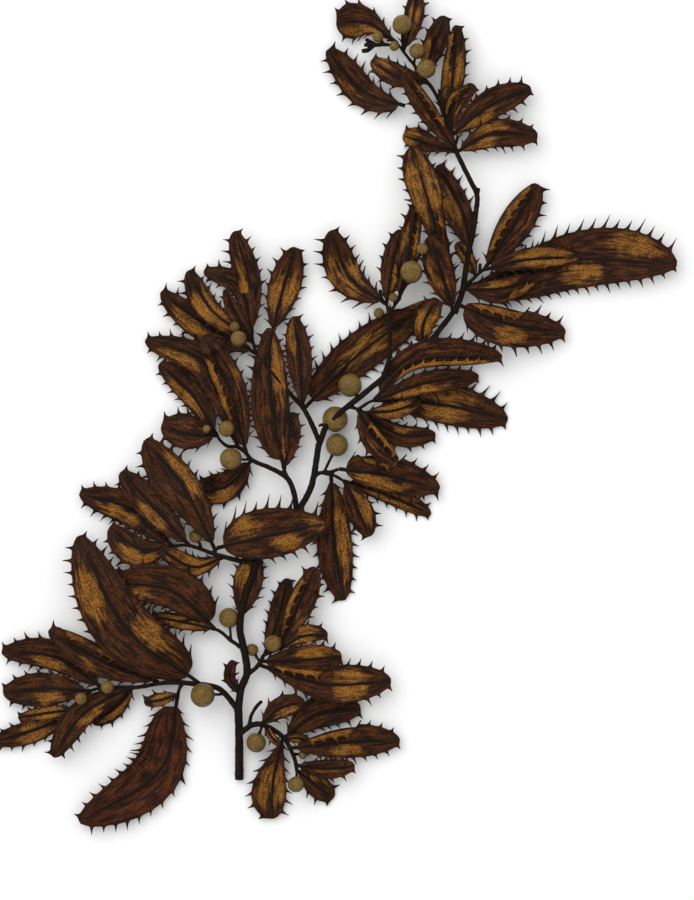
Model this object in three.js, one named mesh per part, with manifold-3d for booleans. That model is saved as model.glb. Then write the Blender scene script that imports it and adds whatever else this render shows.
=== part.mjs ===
// A cut sprig of sargassum seaweed, lying flat on a table.
// Millimetres, +Z up. The plan below is measured from the lower left corner of the sheet the sprig lies on:
// x to the right, y away from the cut end. The last lines move the sprig to its own centre.
import * as THREE from "three";
import Module from "manifold-3d";

const wasm = await Module();
wasm.setup();

const SHEET_CENTRE = [100.2, 146.95]; // middle of the sprig's box, in plan
const STEM_Z = 5; // height of the stems' axis over the table
const GAP = 0.3; // air between touching pieces
const TOOTH_MOST = 2; // length of the largest teeth
const MIDRIB = 1; // thickness of a leaf on its midrib
const STALK_HALF = 0.55; // half width of a leaf's stalk
const STALK_SHARE = 0.07; // part of a leaf's length that is stalk
const CUP = 0.1; // rise of a margin per mm of half width
const CELL = 0.8; // cell of the height map
const LAY_GAP = 0.35; // air between a leaf and what it lies on
const MAX_SLOPE = 0.32; // steepest rise of a leaf over what it lies on
const DROOP = 0.5; // fall per mm from the stem down to the table
const FLAP_RISE = 0.9; // height of a folded margin over the leaf
const STALK_R = 0.5; // radius of an air bladder's stalk
const TUBE_SIDES = 5;
const STALK_SIDES = 4;
const FORK_REACH = 2.4; // near its stem a leaf keeps the stem's height, whatever lies there
const FREE_REACH = 6; // how far along the stem a leaf is kept clear of it
const ROOT_DEPTH = 0.55; // how far a small leaf's stalk reaches into its stem
const DETAIL = 0.08; // facets smaller than this are merged

// Stems: node, plan points from the older end to the younger, first and last radius, heights.
const STEMS = [
  ["main_stem_lower", [[71.7, 35.8], [71.7, 43.5], [71.7, 51.3], [71.5, 57.6]], 1.35, 1.25, [1.3, 2.6, 4.4, 5]],
  ["main_stem_middle", [[71.6, 58.2], [72.3, 63.3], [74.1, 68.1], [73.8, 72], [72.9, 76.5], [72, 81],
    [72.3, 85.5], [74.1, 93], [77, 101]], 1.2, 1.1],
  ["main_stem_upper", [[77.2, 101.6], [82.5, 108.6], [88.9, 116.2]], 1.1, 1.05],
  ["upper_left_arm", [[88.9, 117.4], [88.2, 122.1], [86.4, 126.3], [84, 128.1], [80.4, 129.9], [75.6, 132],
    [73.2, 134.7], [71.1, 135.9], [68.1, 136.2], [66, 138], [64.8, 140.1]], 0.95, 0.5],
  ["upper_left_arm", [[86.2, 126.6], [85.5, 128.2], [85.2, 129.6]], 0.7, 0.6],
  ["right_arm_lower", [[90, 117.6], [92.1, 121.2], [93.6, 124.8], [94.8, 131.1], [95.6, 137]], 1.0, 0.95],
  ["right_arm_lower", [[93.9, 126.9], [96, 128.1], [99, 128.4], [101.7, 129.3]], 0.7, 0.5],
  ["right_arm_lower", [[97.2, 128.1], [100.5, 127.2], [103.2, 125.7]], 0.6, 0.45],
  ["right_arm_middle", [[96.4, 138.4], [97.8, 141.9], [100.8, 144.9], [104.1, 147.9], [108, 150.9],
    [113.1, 155.1], [120.9, 161.4], [128.4, 167.1], [133.5, 173.1], [136.4, 177]], 0.95, 0.85,
    [5, 5.8, 7.6, 6.8, 6.2, 5.6, 5, 5, 5, 5]],
  ["right_arm_middle", [[104.4, 148], [107.1, 147.3], [109.5, 146.2]], 0.6, 0.45, [6.6, 6, 5.4]],
  ["right_arm_middle", [[107.4, 147.2], [110.4, 149.1], [112.2, 149.9]], 0.55, 0.45, [6, 5.6, 5.3]],
  ["right_arm_upper", [[137.1, 178], [138.6, 182.1], [139.5, 187.5], [140.4, 193.5], [141.9, 200.4],
    [142.8, 206.4], [143.1, 211.5], [141, 216], [138.9, 220.2], [136.9, 224.4]], 0.95, 0.75],
  ["right_arm_upper", [[138.9, 183.4], [141.6, 186], [144, 188.3], [145.3, 189.1]], 0.65, 0.5],
  ["right_arm_upper", [[143, 211], [143.6, 213.6]], 0.75, 0.6],
  ["right_arm_upper", [[143.8, 188.2], [144.1, 191]], 0.45, 0.5],
  ["top_branch", [[136.7, 225.2], [135.3, 229.5], [134.1, 234], [132, 239.1], [129.6, 243.6], [126.3, 247.8],
    [123, 252], [120.9, 254.7], [119.2, 257]], 0.75, 0.45],
  ["top_branch", [[119.6, 256.4], [115.5, 256.6], [112.5, 256.5], [109.2, 256.5]], 0.45, 0.6],
  ["top_branch", [[113.4, 256.5], [111.3, 257.4], [109.6, 258.3]], 0.4, 0.6],
  ["top_branch", [[112.6, 256.3], [110.4, 255], [108.5, 254.6]], 0.4, 0.65],
  ["top_branch", [[128.7, 244.8], [125.4, 247.2], [122.3, 249.2]], 0.5, 0.6],
  ["top_branch", [[125.4, 247.2], [123.6, 247], [121.8, 247.4]], 0.4, 0.55],
  ["upper_left_branch", [[94.9, 139.6], [92.7, 144.6], [90.9, 147.6], [88.5, 150.3], [85.5, 153.6], [81, 159],
    [77.1, 163.8], [75.9, 167.4], [75.6, 170.1]], 0.85, 0.5],
  ["upper_left_branch", [[79.5, 160.8], [81, 166.5], [81.6, 170.1]], 0.6, 0.5],
  ["middle_branch", [[115.6, 158.8], [116.7, 162], [117, 168], [117, 174.6], [116.1, 178.2]], 0.8, 0.6,
    [6.2, 7, 7, 7, 6.6]],
  ["middle_branch", [[116.9, 175.6], [118.5, 178.6], [119.7, 180]], 0.55, 0.5, [6.9, 6.9, 6.8]],
  ["middle_branch", [[116.3, 177.8], [114.3, 180.9], [114, 183]], 0.4, 0.55, [6.6, 6.8, 7]],
  ["lower_left_branch", [[70, 58.8], [68.3, 61], [66, 63.2], [63, 64.3], [58.5, 64.8], [53.4, 65.3],
    [48, 65], [42, 63.9], [36, 63.9], [30, 63.6], [27, 62.7]], 0.95, 0.5],
  ["lower_left_branch", [[54.9, 65.4], [53.7, 63], [53.4, 61.2]], 0.65, 0.55],
  ["lower_left_branch", [[27.3, 62.8], [25.2, 60], [23.4, 57.3]], 0.5, 0.45, [5, 5, 4.6]],
  ["lower_right_branch", [[73.6, 51.2], [75, 52.2], [78, 52.8], [81.6, 51.3], [84.9, 48.9], [87, 45.6],
    [88.5, 42], [89.1, 38.4]], 0.95, 0.6],
  ["lower_right_branch", [[74.6, 52], [75.6, 55.8], [77.1, 58.2], [78.6, 59.7]], 0.6, 0.55],
  ["right_side_branch", [[75.4, 68.6], [76.8, 69.6], [78.3, 71.7], [79.2, 73.5], [81.6, 74.4],
    [84.3, 75.6]], 0.8, 0.5],
  ["left_side_branch", [[70.9, 76.8], [68.7, 78.3], [66.3, 80.4], [64.5, 81.3]], 0.7, 0.5],
  ["left_middle_branch", [[75.6, 101.2], [72, 101.7], [67.5, 102.9], [63.3, 104.1], [59.4, 105.6],
    [55.5, 106.5], [51.9, 106.2]], 0.9, 0.5],
  ["left_middle_branch", [[63.9, 103.9], [65.1, 105.6]], 0.7, 0.6],
];

// Air bladders: node, plan place, radius, start of the stalk. One small bladder sits on another.
const ON_BLADDER = [123.3, 188.1];
const BLADDERS = [
  ["top_branch", [120.6, 262.2], 3.0, [120.8, 254.8]],
  ["top_branch", [113.4, 258.9], 1.7, [115.5, 256.6]],
  ["top_branch", [118.3, 255.9], 1.5, [119.3, 256.8]],
  ["top_branch", [125.1, 254.4], 2.4, [124, 250.6]],
  ["top_branch", [127.8, 249], 2.9, [126.8, 247.2]],
  ["top_branch", [137.7, 230.1], 1.2, [136.5, 226]],
  ["middle_branch", ON_BLADDER, 3.4, [119.5, 179.8]],
  ["middle_branch", [126.6, 195], 1.8, ON_BLADDER],
  ["middle_branch", [117.9, 180.6], 1.4, [118.5, 178.6]],
  ["middle_branch", [113.7, 176.1], 1.6, [117, 172.5]],
  ["upper_left_branch", [70.5, 171.9], 1.6, [75.7, 169.5]],
  ["upper_left_branch", [71.7, 168.3], 2.4, [75.9, 167.4]],
  ["right_arm_middle", [105, 154.4], 3.6, [107.6, 150.6]],
  ["right_arm_middle", [100.5, 144.3], 3.9, [95.6, 142.2]],
  ["right_arm_lower", [101.1, 136.5], 3.4, [97.2, 128.3]],
  ["upper_left_arm", [68.1, 141.3], 2.5, [72, 135.6]],
  ["upper_left_arm", [69.3, 132.3], 3.4, [75.3, 132.1]],
  ["upper_left_arm", [62.1, 141.3], 1.3, [65, 139.8]],
  ["left_middle_branch", [58.8, 109.2], 2.1, [60.6, 105.2]],
  ["left_side_branch", [68.7, 84.6], 3.1, [69.3, 78]],
  ["right_side_branch", [75.6, 75], 1.9, [78, 71.3]],
  ["right_side_branch", [82, 77], 2.6, [80.1, 73.8]],
  ["lower_left_branch", [60.9, 61.6], 3.7, [68.4, 61.8]],
  ["lower_left_branch", [32.4, 64], 2.0, [35, 63.9]],
  ["lower_left_branch", [24.6, 60.6], 1.9, [27.3, 62.8]],
  ["lower_right_branch", [76.8, 47.1], 3.0, [78.8, 52.6]],
  ["lower_right_branch", [88.8, 34.8], 2.5, [89.1, 38.6]],
  ["lower_right_branch", [90.9, 43.5], 1.4, [87.8, 43.8]],
];

// Leaves: name, the node that carries it, stalk end, middle and tip in plan, half widths to the left and
// to the right of the way from stalk to tip, then what is particular: peak (where it is widest, for both
// sides or for the left and the right one), curl (lift of the tip), fold (side and stretch of a folded margin), small (grown together with its branch).
const LEAVES_UNDER = [
  ["top_leaf_1", "top_branch", [121.5, 238.2], [108.9, 242.7], [98.1, 255.3], 4.4, 4.8,
    { curl: 2, peak: [0.38, 0.6] }],
  ["top_leaf_2", "top_branch", [119.1, 257.7], [110.4, 263.4], [100.8, 263.6], 5.2, 5.6,
    { small: 1, peak: 0.75, curl: 2 }],
  ["top_leaf_3", "top_branch", [121, 254.8], [123.6, 263.4], [125.1, 273.3], 2.8, 3.2, { small: 1, curl: 2 }],
  ["top_leaf_4", "top_branch", [127, 247], [130.8, 258], [133.5, 265.2], 3.3, 3.5, { small: 1, curl: 1.5 }],
  ["top_leaf_5", "top_branch", [128.4, 245.2], [118.4, 247.4], [111.3, 252], 3.3, 3.6, { small: 1 }],
  ["middle_leaf_6", "upper_left_branch", [91.4, 147.6], [108.4, 164.4], [130.2, 180], 6.4, 6,
    { fold: ["left", 0.82, 0.97], peak: [0.36, 0.5] }],
  ["middle_leaf_1", "middle_branch", [115.7, 178.8], [105, 186.6], [99.3, 201], 5.6, 4.3, { curl: 4 }],
  ["middle_leaf_2", "middle_branch", [116, 178.6], [117.9, 191.4], [120.3, 201.3], 3.4, 3.4, { small: 1 }],
  ["middle_leaf_3", "middle_branch", [119.7, 180], [122.7, 195], [125.4, 210.3], 3.2, 3.2,
    { fold: ["right", 0.4, 0.9] }],
  ["middle_leaf_4", "right_arm_upper", [136.6, 224.6], [129, 226.8], [120.9, 229.8], 2.8, 3.8,
    { small: 1, peak: 0.7 }],
  ["middle_leaf_5", "right_arm_upper", [141.4, 194], [139.2, 205.5], [131.7, 221], 6, 3, {}],
  ["middle_leaf_7", "right_arm_middle", [135.9, 176.4], [130.2, 202.5], [123.6, 226.2], 5.2, 5,
    { fold: ["right", 0.45, 0.62], peak: [0.78, 0.7] }],
  ["middle_leaf_8", "right_arm_middle", [136.1, 176.6], [132.6, 187.5], [129, 199.2], 4.8, 4, {}],
  ["middle_leaf_9", "right_arm_middle", [126.6, 165.9], [126.9, 172.5], [131.4, 180.4], 3.3, 3.7,
    { small: 1 }],
  ["right_leaf_1", "right_arm_upper", [139.5, 184], [169.6, 192], [203.1, 190.8], 9.6, 9.4,
    { curl: 4, peak: [0.68, 0.33] }],
  ["right_leaf_2", "right_arm_middle", [112.2, 149.9], [132, 148.8], [152.4, 144], 6.4, 5.8,
    { fold: ["left", 0.3, 0.55] }],
  ["right_leaf_3", "right_arm_lower", [103.2, 125.7], [117, 121.2], [129.3, 115.5], 3.5, 2.5, { small: 1 }],
  ["right_leaf_4", "right_arm_lower", [99.3, 127.8], [100.2, 108], [102.9, 89.7], 5.3, 5.4,
    { peak: [0.5, 0.6] }],
  ["right_leaf_5", "right_arm_middle", [109.5, 146.2], [119.4, 139.8], [130.8, 139.5], 3, 3.6, { small: 1 }],
  ["left_leaf_1", "upper_left_arm", [75.4, 131.8], [67.8, 124.2], [56.7, 122.1], 4.6, 4.6, { small: 1 }],
  ["left_leaf_2", "left_middle_branch", [51.9, 106.2], [37.8, 117.9], [23.7, 122.1], 5.2, 4.3, { curl: 2 }],
  ["left_leaf_3", "left_middle_branch", [57, 106.2], [47.1, 116.7], [36, 128.4], 4.6, 4.6, { curl: 1.5 }],
  ["left_leaf_4", "left_middle_branch", [52.2, 106.3], [42, 105.3], [32.7, 111.9], 5.6, 3.4, { small: 1 }],
  ["left_leaf_5", "left_middle_branch", [67.5, 102.9], [58.5, 99.9], [48, 105], 2.8, 3.4, { small: 1 }],
  ["lower_left_leaf_1", "left_side_branch", [64.5, 81.3], [52, 92.6], [31.8, 95.4], 5.4, 7.4,
    { peak: [0.5, 0.36] }],
  ["lower_left_leaf_2", "lower_left_branch", [59.7, 65.1], [38.8, 80.6], [23.6, 109.2], 9.6, 8.6,
    { curl: 3, peak: [0.5, 0.33] }],
  ["lower_left_leaf_3", "lower_left_branch", [30.9, 63.7], [15.6, 72.9], [0.3, 74.4], 4, 4.9, { curl: 2 }],
  ["lower_left_leaf_4", "lower_left_branch", [23.4, 57.4], [10.8, 51], [-2.7, 47.1], 3.6, 3.4, { curl: 1.5 }],
  ["lower_left_leaf_5", "lower_left_branch", [27.3, 62.7], [14.4, 63.3], [0.6, 62.1], 5.2, 5, { curl: 1.5 }],
  ["lower_left_leaf_6", "lower_left_branch", [23.4, 57.4], [13.5, 56.1], [5.4, 54.6], 2, 2, { small: 1 }],
  ["lower_left_leaf_7", "lower_left_branch", [40.2, 63.8], [34.2, 57.3], [27.3, 52.8], 3, 2.6, { small: 1 }],
  ["lower_left_leaf_8", "lower_left_branch", [39, 63.8], [25.2, 56], [15.9, 42.9], 3.6, 4.4, { curl: 1 }],
  ["lower_right_leaf_1", "right_side_branch", [79.4, 73.6], [83.2, 84], [86.4, 96.4], 3.2, 3.2, {}],
  ["lower_right_leaf_2", "lower_right_branch", [84.9, 48.9], [81.9, 35.4], [81.3, 24], 4.2, 6.2,
    { curl: 1, peak: 0.68 }],
  ["lower_right_leaf_3", "lower_right_branch", [85.2, 48.7], [95.4, 55.8], [108.3, 57.3], 5.2, 4.6,
    { curl: 1.5 }],
  ["lower_right_leaf_4", "lower_right_branch", [89, 39], [95.1, 34.2], [99.9, 30], 3.4, 3.6,
    { small: 1, peak: 0.6 }],
  ["upper_left_leaf_1", "upper_left_branch", [77, 163.9], [61.8, 172.5], [48.3, 182.7], 5.2, 3.2,
    { curl: 2 }],
  ["upper_left_leaf_2", "upper_left_branch", [75.8, 167.4], [62.7, 177.9], [56.4, 189], 4.2, 3,
    { small: 1, curl: 1.5, peak: 0.62 }],
  ["upper_left_leaf_3", "upper_left_branch", [75.6, 169.9], [71.6, 184], [61, 189], 2.8, 3.6, { small: 1 }],
  ["upper_left_leaf_4", "upper_left_arm", [65, 139.6], [57.6, 151.5], [47.7, 161.1], 3.6, 4.6,
    { curl: 1.5 }],
  ["upper_left_leaf_5", "upper_left_arm", [71.4, 135.8], [60.9, 161.4], [43.5, 168], 4.8, 4.2,
    { curl: 1.5, peak: 0.6 }],
  ["upper_left_leaf_6", "upper_left_arm", [64.9, 139.6], [57, 139.8], [48.3, 142.5], 4.8, 5.8,
    { small: 1 }],
  ["upper_left_leaf_7", "upper_left_branch", [81.6, 170], [84.6, 182.4], [88.8, 195.9], 4.6, 5, { curl: 4 }],
];
const LEAVES_OVER = [
  ["top_leaf_6", "right_arm_upper", [136.8, 224.6], [128.4, 236.4], [120.9, 247.8], 3.2, 3.2,
    { fold: ["right", 0.25, 0.9] }],
  ["top_leaf_7", "top_branch", [134.7, 231.6], [135.9, 247.5], [137.1, 262.5], 4.2, 3.6,
    { fold: ["left", 0.35, 0.95], curl: 1.5, peak: [0.4, 0.55] }],
  ["top_leaf_8", "top_branch", [135.2, 230], [136.2, 238.5], [142.5, 244.5], 3.2, 3,
    { small: 1, fold: ["left", 0.3, 0.9] }],
  ["top_leaf_9", "top_branch", [135.4, 229.4], [147.6, 238.8], [159.3, 243.6], 4.5, 4.3, { curl: 3 }],
  ["top_leaf_10", "right_arm_upper", [137.2, 224], [148.5, 230.1], [161.4, 229.2], 4, 4.5,
    { small: 1, curl: 2 }],
  ["right_leaf_6", "right_arm_upper", [145.3, 189.2], [153.9, 202.2], [161.7, 214.8], 5.6, 5.4,
    { fold: ["left", 0.15, 0.95], curl: 3 }],
  ["right_leaf_7", "right_arm_upper", [139, 183.2], [150, 183.3], [161.4, 186.9], 3, 4.6,
    { small: 1, fold: ["right", 0.55, 0.95] }],
  ["right_leaf_8", "right_arm_upper", [145.3, 189.1], [159.9, 192.3], [173.7, 192.9], 3.6, 3, {}],
  ["right_leaf_9", "right_arm_upper", [137.3, 178.6], [151.5, 172.9], [169.8, 170.4], 5.5, 6.8,
    { fold: ["left", 0.1, 0.6], curl: 2, peak: [0.45, 0.38] }],
  ["right_leaf_10", "right_arm_upper", [142.8, 187.2], [140.4, 192.3], [136.8, 197.1], 2, 2.2, { small: 1 }],
  ["right_leaf_11", "right_arm_lower", [101.7, 129.3], [116.4, 127.2], [132, 123.3], 6.6, 4.9,
    { fold: ["left", 0.2, 0.55], curl: 2, peak: [0.36, 0.5] }],
  ["right_leaf_12", "right_arm_lower", [103.2, 125.7], [107.4, 117], [111, 109], 4.4, 3.6, { small: 1 }],
  ["right_leaf_13", "right_arm_middle", [107.1, 147.2], [112.5, 138.6], [119.1, 131.4], 3, 4.2,
    { small: 1, fold: ["left", 0.25, 0.95] }],
  ["right_leaf_14", "right_arm_middle", [109.5, 146.3], [117.6, 146.7], [126.3, 149.4], 2.6, 2.6,
    { small: 1 }],
  ["right_leaf_15", "right_arm_middle", [112.2, 149.9], [127.5, 155.1], [143.7, 157.2], 3.4, 3.8, {}],
  ["right_leaf_16", "right_arm_middle", [112.2, 149.9], [123.6, 161.1], [150.6, 162.9], 5.8, 3.2,
    { fold: ["right", 0.2, 0.93] }],
  ["left_leaf_6", "left_middle_branch", [65.1, 105.6], [81, 109.4], [97.5, 112.8], 8.4, 6.8,
    { curl: 1, peak: [0.38, 0.47] }],
  ["left_leaf_7", "left_middle_branch", [64.6, 105], [55.8, 122.7], [43.8, 138.3], 7.2, 5,
    { curl: 2, peak: [0.62, 0.5] }],
  ["lower_left_leaf_9", "left_side_branch", [64.6, 81.3], [54.9, 83.4], [45.3, 85.2], 2.4, 2.2, { small: 1 }],
  ["lower_left_leaf_10", "lower_left_branch", [47.6, 65.4], [31.2, 71.4], [14.7, 81], 4.8, 4.8,
    { fold: ["right", 0.3, 0.9], curl: 1.5 }],
  ["lower_left_leaf_11", "lower_left_branch", [53.4, 61.4], [48, 38.8], [23.7, 23.4], 7.4, 8.4,
    { curl: 3, peak: [0.58, 0.33] }],
  ["lower_left_leaf_12", "lower_left_branch", [53.4, 61.8], [48, 60], [43.2, 59.1], 1.8, 2.2, { small: 1 }],
  ["lower_right_leaf_5", "main_stem_middle", [72, 84], [74.1, 93], [76.5, 104.1], 4.6, 4.2, { small: 1 }],
  ["lower_right_leaf_6", "right_side_branch", [84.3, 75.6], [89.1, 87.6], [94.8, 99.9], 4.2, 4.6,
    { fold: ["left", 0.1, 0.85], curl: 1.5 }],
  ["lower_right_leaf_7", "right_side_branch", [84.2, 75.6], [91.2, 79.2], [98.4, 79.5], 3.2, 2, { small: 1 }],
  ["lower_right_leaf_8", "lower_right_branch", [78.6, 52.7], [84.3, 57.6], [91.5, 59.4], 3.4, 3.2,
    { small: 1 }],
  ["lower_right_leaf_9", "right_side_branch", [78.4, 71.4], [90.9, 72], [102.6, 73.2], 4.4, 4.6,
    { small: 1 }],
  ["lower_right_leaf_10", "right_side_branch", [77.6, 70.6], [97.5, 64.8], [117.3, 65.7], 6, 5.4,
    { fold: ["left", 0.1, 0.5], curl: 2, peak: 0.63 }],
  ["lower_right_leaf_11", "lower_right_branch", [87, 45.6], [102.9, 47.1], [120, 47.7], 5.4, 4.7,
    { fold: ["left", 0.15, 0.6], curl: 2 }],
  ["lower_right_leaf_12", "lower_right_branch", [88.9, 40.2], [97.8, 39.3], [106.5, 40.2], 2.8, 3,
    { small: 1 }],
  ["lower_right_leaf_13", "main_stem_middle", [72.3, 62], [68.8, 67], [70, 72], 1.6, 1.8, { small: 1 }],
  ["lower_right_leaf_14", "lower_right_branch", [79.4, 52.2], [81.6, 48.9], [84, 46.8], 1.2, 1.2,
    { small: 1 }],
  ["lower_right_leaf_15", "lower_right_branch", [85.8, 48.3], [89.4, 48.6], [93, 47.4], 1.5, 1.5,
    { small: 1 }],
  ["upper_left_leaf_13", "upper_left_branch", [75.8, 168.3], [69.6, 177.6], [67.5, 183.3], 1.9, 1.9,
    { small: 1 }],
  ["upper_left_leaf_8", "upper_left_branch", [75.6, 170], [75, 184.5], [70.5, 200.7], 4, 3.6,
    { curl: 4, peak: [0.64, 0.55] }],
  ["upper_left_leaf_9", "upper_left_arm", [74, 133.8], [68.7, 153.6], [61.2, 169.5], 5, 5,
    { fold: ["left", 0.25, 0.85] }],
  ["upper_left_leaf_10", "upper_left_branch", [90.9, 147.6], [90, 160.8], [88.2, 175.2], 3.8, 3.8, {}],
  ["upper_left_leaf_11", "upper_left_arm", [85.2, 129.4], [81.3, 150.6], [80.7, 171.6], 6.2, 5.4,
    { peak: [0.36, 0.5] }],
  ["upper_left_leaf_12", "upper_left_arm", [85.3, 129.2], [86.7, 138], [87.9, 146.4], 2.4, 3.2, { small: 1 }],
];

// Solids

function solidOf(points, faces) {
  const build = (tris) =>
    new wasm.Manifold(
      new wasm.Mesh({
        numProp: 3,
        vertProperties: new Float32Array(points.flat()),
        triVerts: new Uint32Array(tris.flat()),
      }),
    );
  const made = build(faces);
  return made.volume() > 0 ? made : build(faces.map(([a, b, c]) => [a, c, b]));
}

function meshOf(name, solid) {
  const m = solid.getMesh();
  const xyz = new Float32Array(m.numVert * 3);
  for (let i = 0; i < m.numVert; i++) {
    xyz.set(m.vertProperties.subarray(i * m.numProp, i * m.numProp + 3), i * 3);
  }
  const geometry = new THREE.BufferGeometry();
  geometry.setAttribute("position", new THREE.BufferAttribute(xyz, 3));
  geometry.setIndex(new THREE.BufferAttribute(m.triVerts, 1));
  const mesh = new THREE.Mesh(geometry);
  mesh.name = name;
  return mesh;
}

// A tapering tube through points, closed at both ends.
function tube(points, r0, r1, sides = TUBE_SIDES) {
  const curve = new THREE.CatmullRomCurve3(points.map((p) => new THREE.Vector3(...p)));
  const steps = points.length - 1;
  const xyz = [];
  const faces = [];
  for (let k = 0; k <= steps; k++) {
    const t = k / steps;
    const at = curve.getPoint(t);
    const way = curve.getTangent(t);
    const side = new THREE.Vector3().crossVectors(way, new THREE.Vector3(0, 0, 1)).normalize();
    const up = new THREE.Vector3().crossVectors(side, way).normalize();
    const r = r0 + (r1 - r0) * t;
    for (let j = 0; j < sides; j++) {
      const a = ((j + 0.5) * 2 * Math.PI) / sides;
      const p = at.clone().addScaledVector(side, r * Math.cos(a)).addScaledVector(up, r * Math.sin(a));
      xyz.push(p.toArray());
    }
  }
  for (let k = 0; k < steps; k++) {
    for (let j = 0; j < sides; j++) {
      const a = k * sides + j;
      const b = k * sides + ((j + 1) % sides);
      faces.push([a, b, b + sides], [a, b + sides, a + sides]);
    }
  }
  for (let j = 1; j < sides - 1; j++) {
    faces.push([0, j + 1, j], [steps * sides, steps * sides + j, steps * sides + j + 1]);
  }
  return solidOf(xyz, faces);
}

// Height map of all that has been laid so far

const COLUMNS = Math.ceil(230 / CELL);
const ROWS = Math.ceil(290 / CELL);
const MAP_SHIFT = 10; // the map starts this far left of and below the sheet
const laid = new Float32Array(COLUMNS * ROWS);

function cellOf(x, y) {
  return [Math.floor((x + MAP_SHIFT) / CELL), Math.floor((y + MAP_SHIFT) / CELL)];
}

function heightAt(x, y) {
  const [i, j] = cellOf(x, y);
  return laid[j * COLUMNS + i];
}

function raiseTo(x, y, z) {
  const [i, j] = cellOf(x, y);
  for (let di = -1; di <= 1; di++) {
    for (let dj = -1; dj <= 1; dj++) {
      const at = (j + dj) * COLUMNS + i + di;
      laid[at] = Math.max(laid[at], z);
    }
  }
}

// Calls visit(x, y, weights) at samples all over a triangle, its corners and edges included.
function sampleTriangle(a, b, c, visit) {
  const longest = Math.max(
    Math.hypot(a[0] - b[0], a[1] - b[1]),
    Math.hypot(b[0] - c[0], b[1] - c[1]),
    Math.hypot(c[0] - a[0], c[1] - a[1]),
  );
  const n = Math.max(1, Math.ceil(longest / (0.7 * CELL)));
  for (let i = 0; i <= n; i++) {
    for (let j = 0; j <= n - i; j++) {
      const w = [i / n, j / n, (n - i - j) / n];
      visit(w[0] * a[0] + w[1] * b[0] + w[2] * c[0], w[0] * a[1] + w[1] * b[1] + w[2] * c[1], w);
    }
  }
}

// Stems and air bladders

const stemHeight = new Map(); // node: list of [x, y, z, radius] along its stems
const stemRuns = new Map(); // node: the same, one list for each stem
const bodies = new Map(); // node: solids that grow together

function addBody(node, solid) {
  bodies.set(node, [...(bodies.get(node) ?? []), solid]);
}

function noteStem(node, points, r0, r1) {
  const curve = new THREE.CatmullRomCurve3(points.map((p) => new THREE.Vector3(...p)));
  const n = Math.ceil(curve.getLength() / CELL);
  const run = [];
  for (let k = 0; k <= n; k++) {
    const p = curve.getPoint(k / n);
    run.push([p.x, p.y, p.z, r0 + ((r1 - r0) * k) / n]);
  }
  stemHeight.set(node, [...(stemHeight.get(node) ?? []), ...run]);
  stemRuns.set(node, [...(stemRuns.get(node) ?? []), run]);
}

function nearestOn(node, [x, y]) {
  let best = null;
  for (const p of stemHeight.get(node)) {
    const d = Math.hypot(p[0] - x, p[1] - y);
    if (!best || d < best.d) best = { d, p };
  }
  return best.p;
}

function growStems() {
  for (const [node, plan, r0, r1, heights] of STEMS) {
    const points = plan.map(([x, y], k) => [x, y, heights ? heights[k] : STEM_Z]);
    noteStem(node, points, r0, r1);
    addBody(node, tube(points, r0, r1, r0 > 0.7 ? TUBE_SIDES : STALK_SIDES));
  }
}

function layStems() {
  for (const list of stemHeight.values()) {
    for (const [x, y, z, r] of list) raiseTo(x, y, z + r);
  }
}

function growBladders() {
  for (const [node, [x, y], r, from] of BLADDERS) {
    const sz = nearestOn(node, from)[2];
    let floor = 0;
    for (let a = 0; a < 12; a++) {
      for (const share of [0, 0.35, 0.7]) {
        const px = x + r * share * Math.cos((a * Math.PI) / 6);
        const py = y + r * share * Math.sin((a * Math.PI) / 6);
        floor = Math.max(floor, heightAt(px, py) + LAY_GAP - r * (1 - Math.sqrt(1 - share * share)));
      }
    }
    const z = Math.max(floor + r, STEM_Z - 1);
    const large = r > 2.7;
    const ball = new THREE.SphereGeometry(r, large ? 8 : 6, large ? 5 : 4);
    const flat = ball.toNonIndexed();
    const shape = fromTriangles(flat).translate([x, y, z]);
    addBody(node, shape);
    addBody(node, tube([[...from, from === ON_BLADDER ? z : sz], [x, y, z]], STALK_R, STALK_R, STALK_SIDES));
    for (let share = 0; share <= 0.95; share += 0.19) {
      for (let a = 0; a < 16; a++) {
        raiseTo(x + r * share * Math.cos((a * Math.PI) / 8), y + r * share * Math.sin((a * Math.PI) / 8),
          z + r * Math.sqrt(1 - share * share));
      }
    }
  }
}

function fromTriangles(geometry) {
  const at = geometry.getAttribute("position");
  const index = new Map();
  const points = [];
  const ids = [];
  for (let i = 0; i < at.count; i++) {
    const p = [at.getX(i), at.getY(i), at.getZ(i)];
    const key = p.map((v) => Math.round(v * 1000)).join();
    if (!index.has(key)) {
      index.set(key, points.length);
      points.push(p);
    }
    ids.push(index.get(key));
  }
  const faces = [];
  for (let i = 0; i < ids.length; i += 3) {
    const f = ids.slice(i, i + 3);
    if (new Set(f).size === 3) faces.push(f);
  }
  return solidOf(points, faces);
}

// Leaves

function halfWidthAt(u, full, peak) {
  const t = Math.max(0, (u - STALK_SHARE) / (1 - STALK_SHARE));
  const g = Math.pow(t, Math.log(0.5) / Math.log(peak));
  return STALK_HALF + (full - STALK_HALF) * Math.pow(Math.sin(Math.PI * Math.min(1, g)), 0.6);
}

// A small leaf starts on its stem's axis and a little behind it, so that the two grow together.
function rootInside(node, foot, mid) {
  const [x, y] = nearestOn(node, foot);
  const d = Math.hypot(mid[0] - x, mid[1] - y);
  return [x - (ROOT_DEPTH * (mid[0] - x)) / d, y - (ROOT_DEPTH * (mid[1] - y)) / d];
}

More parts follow.
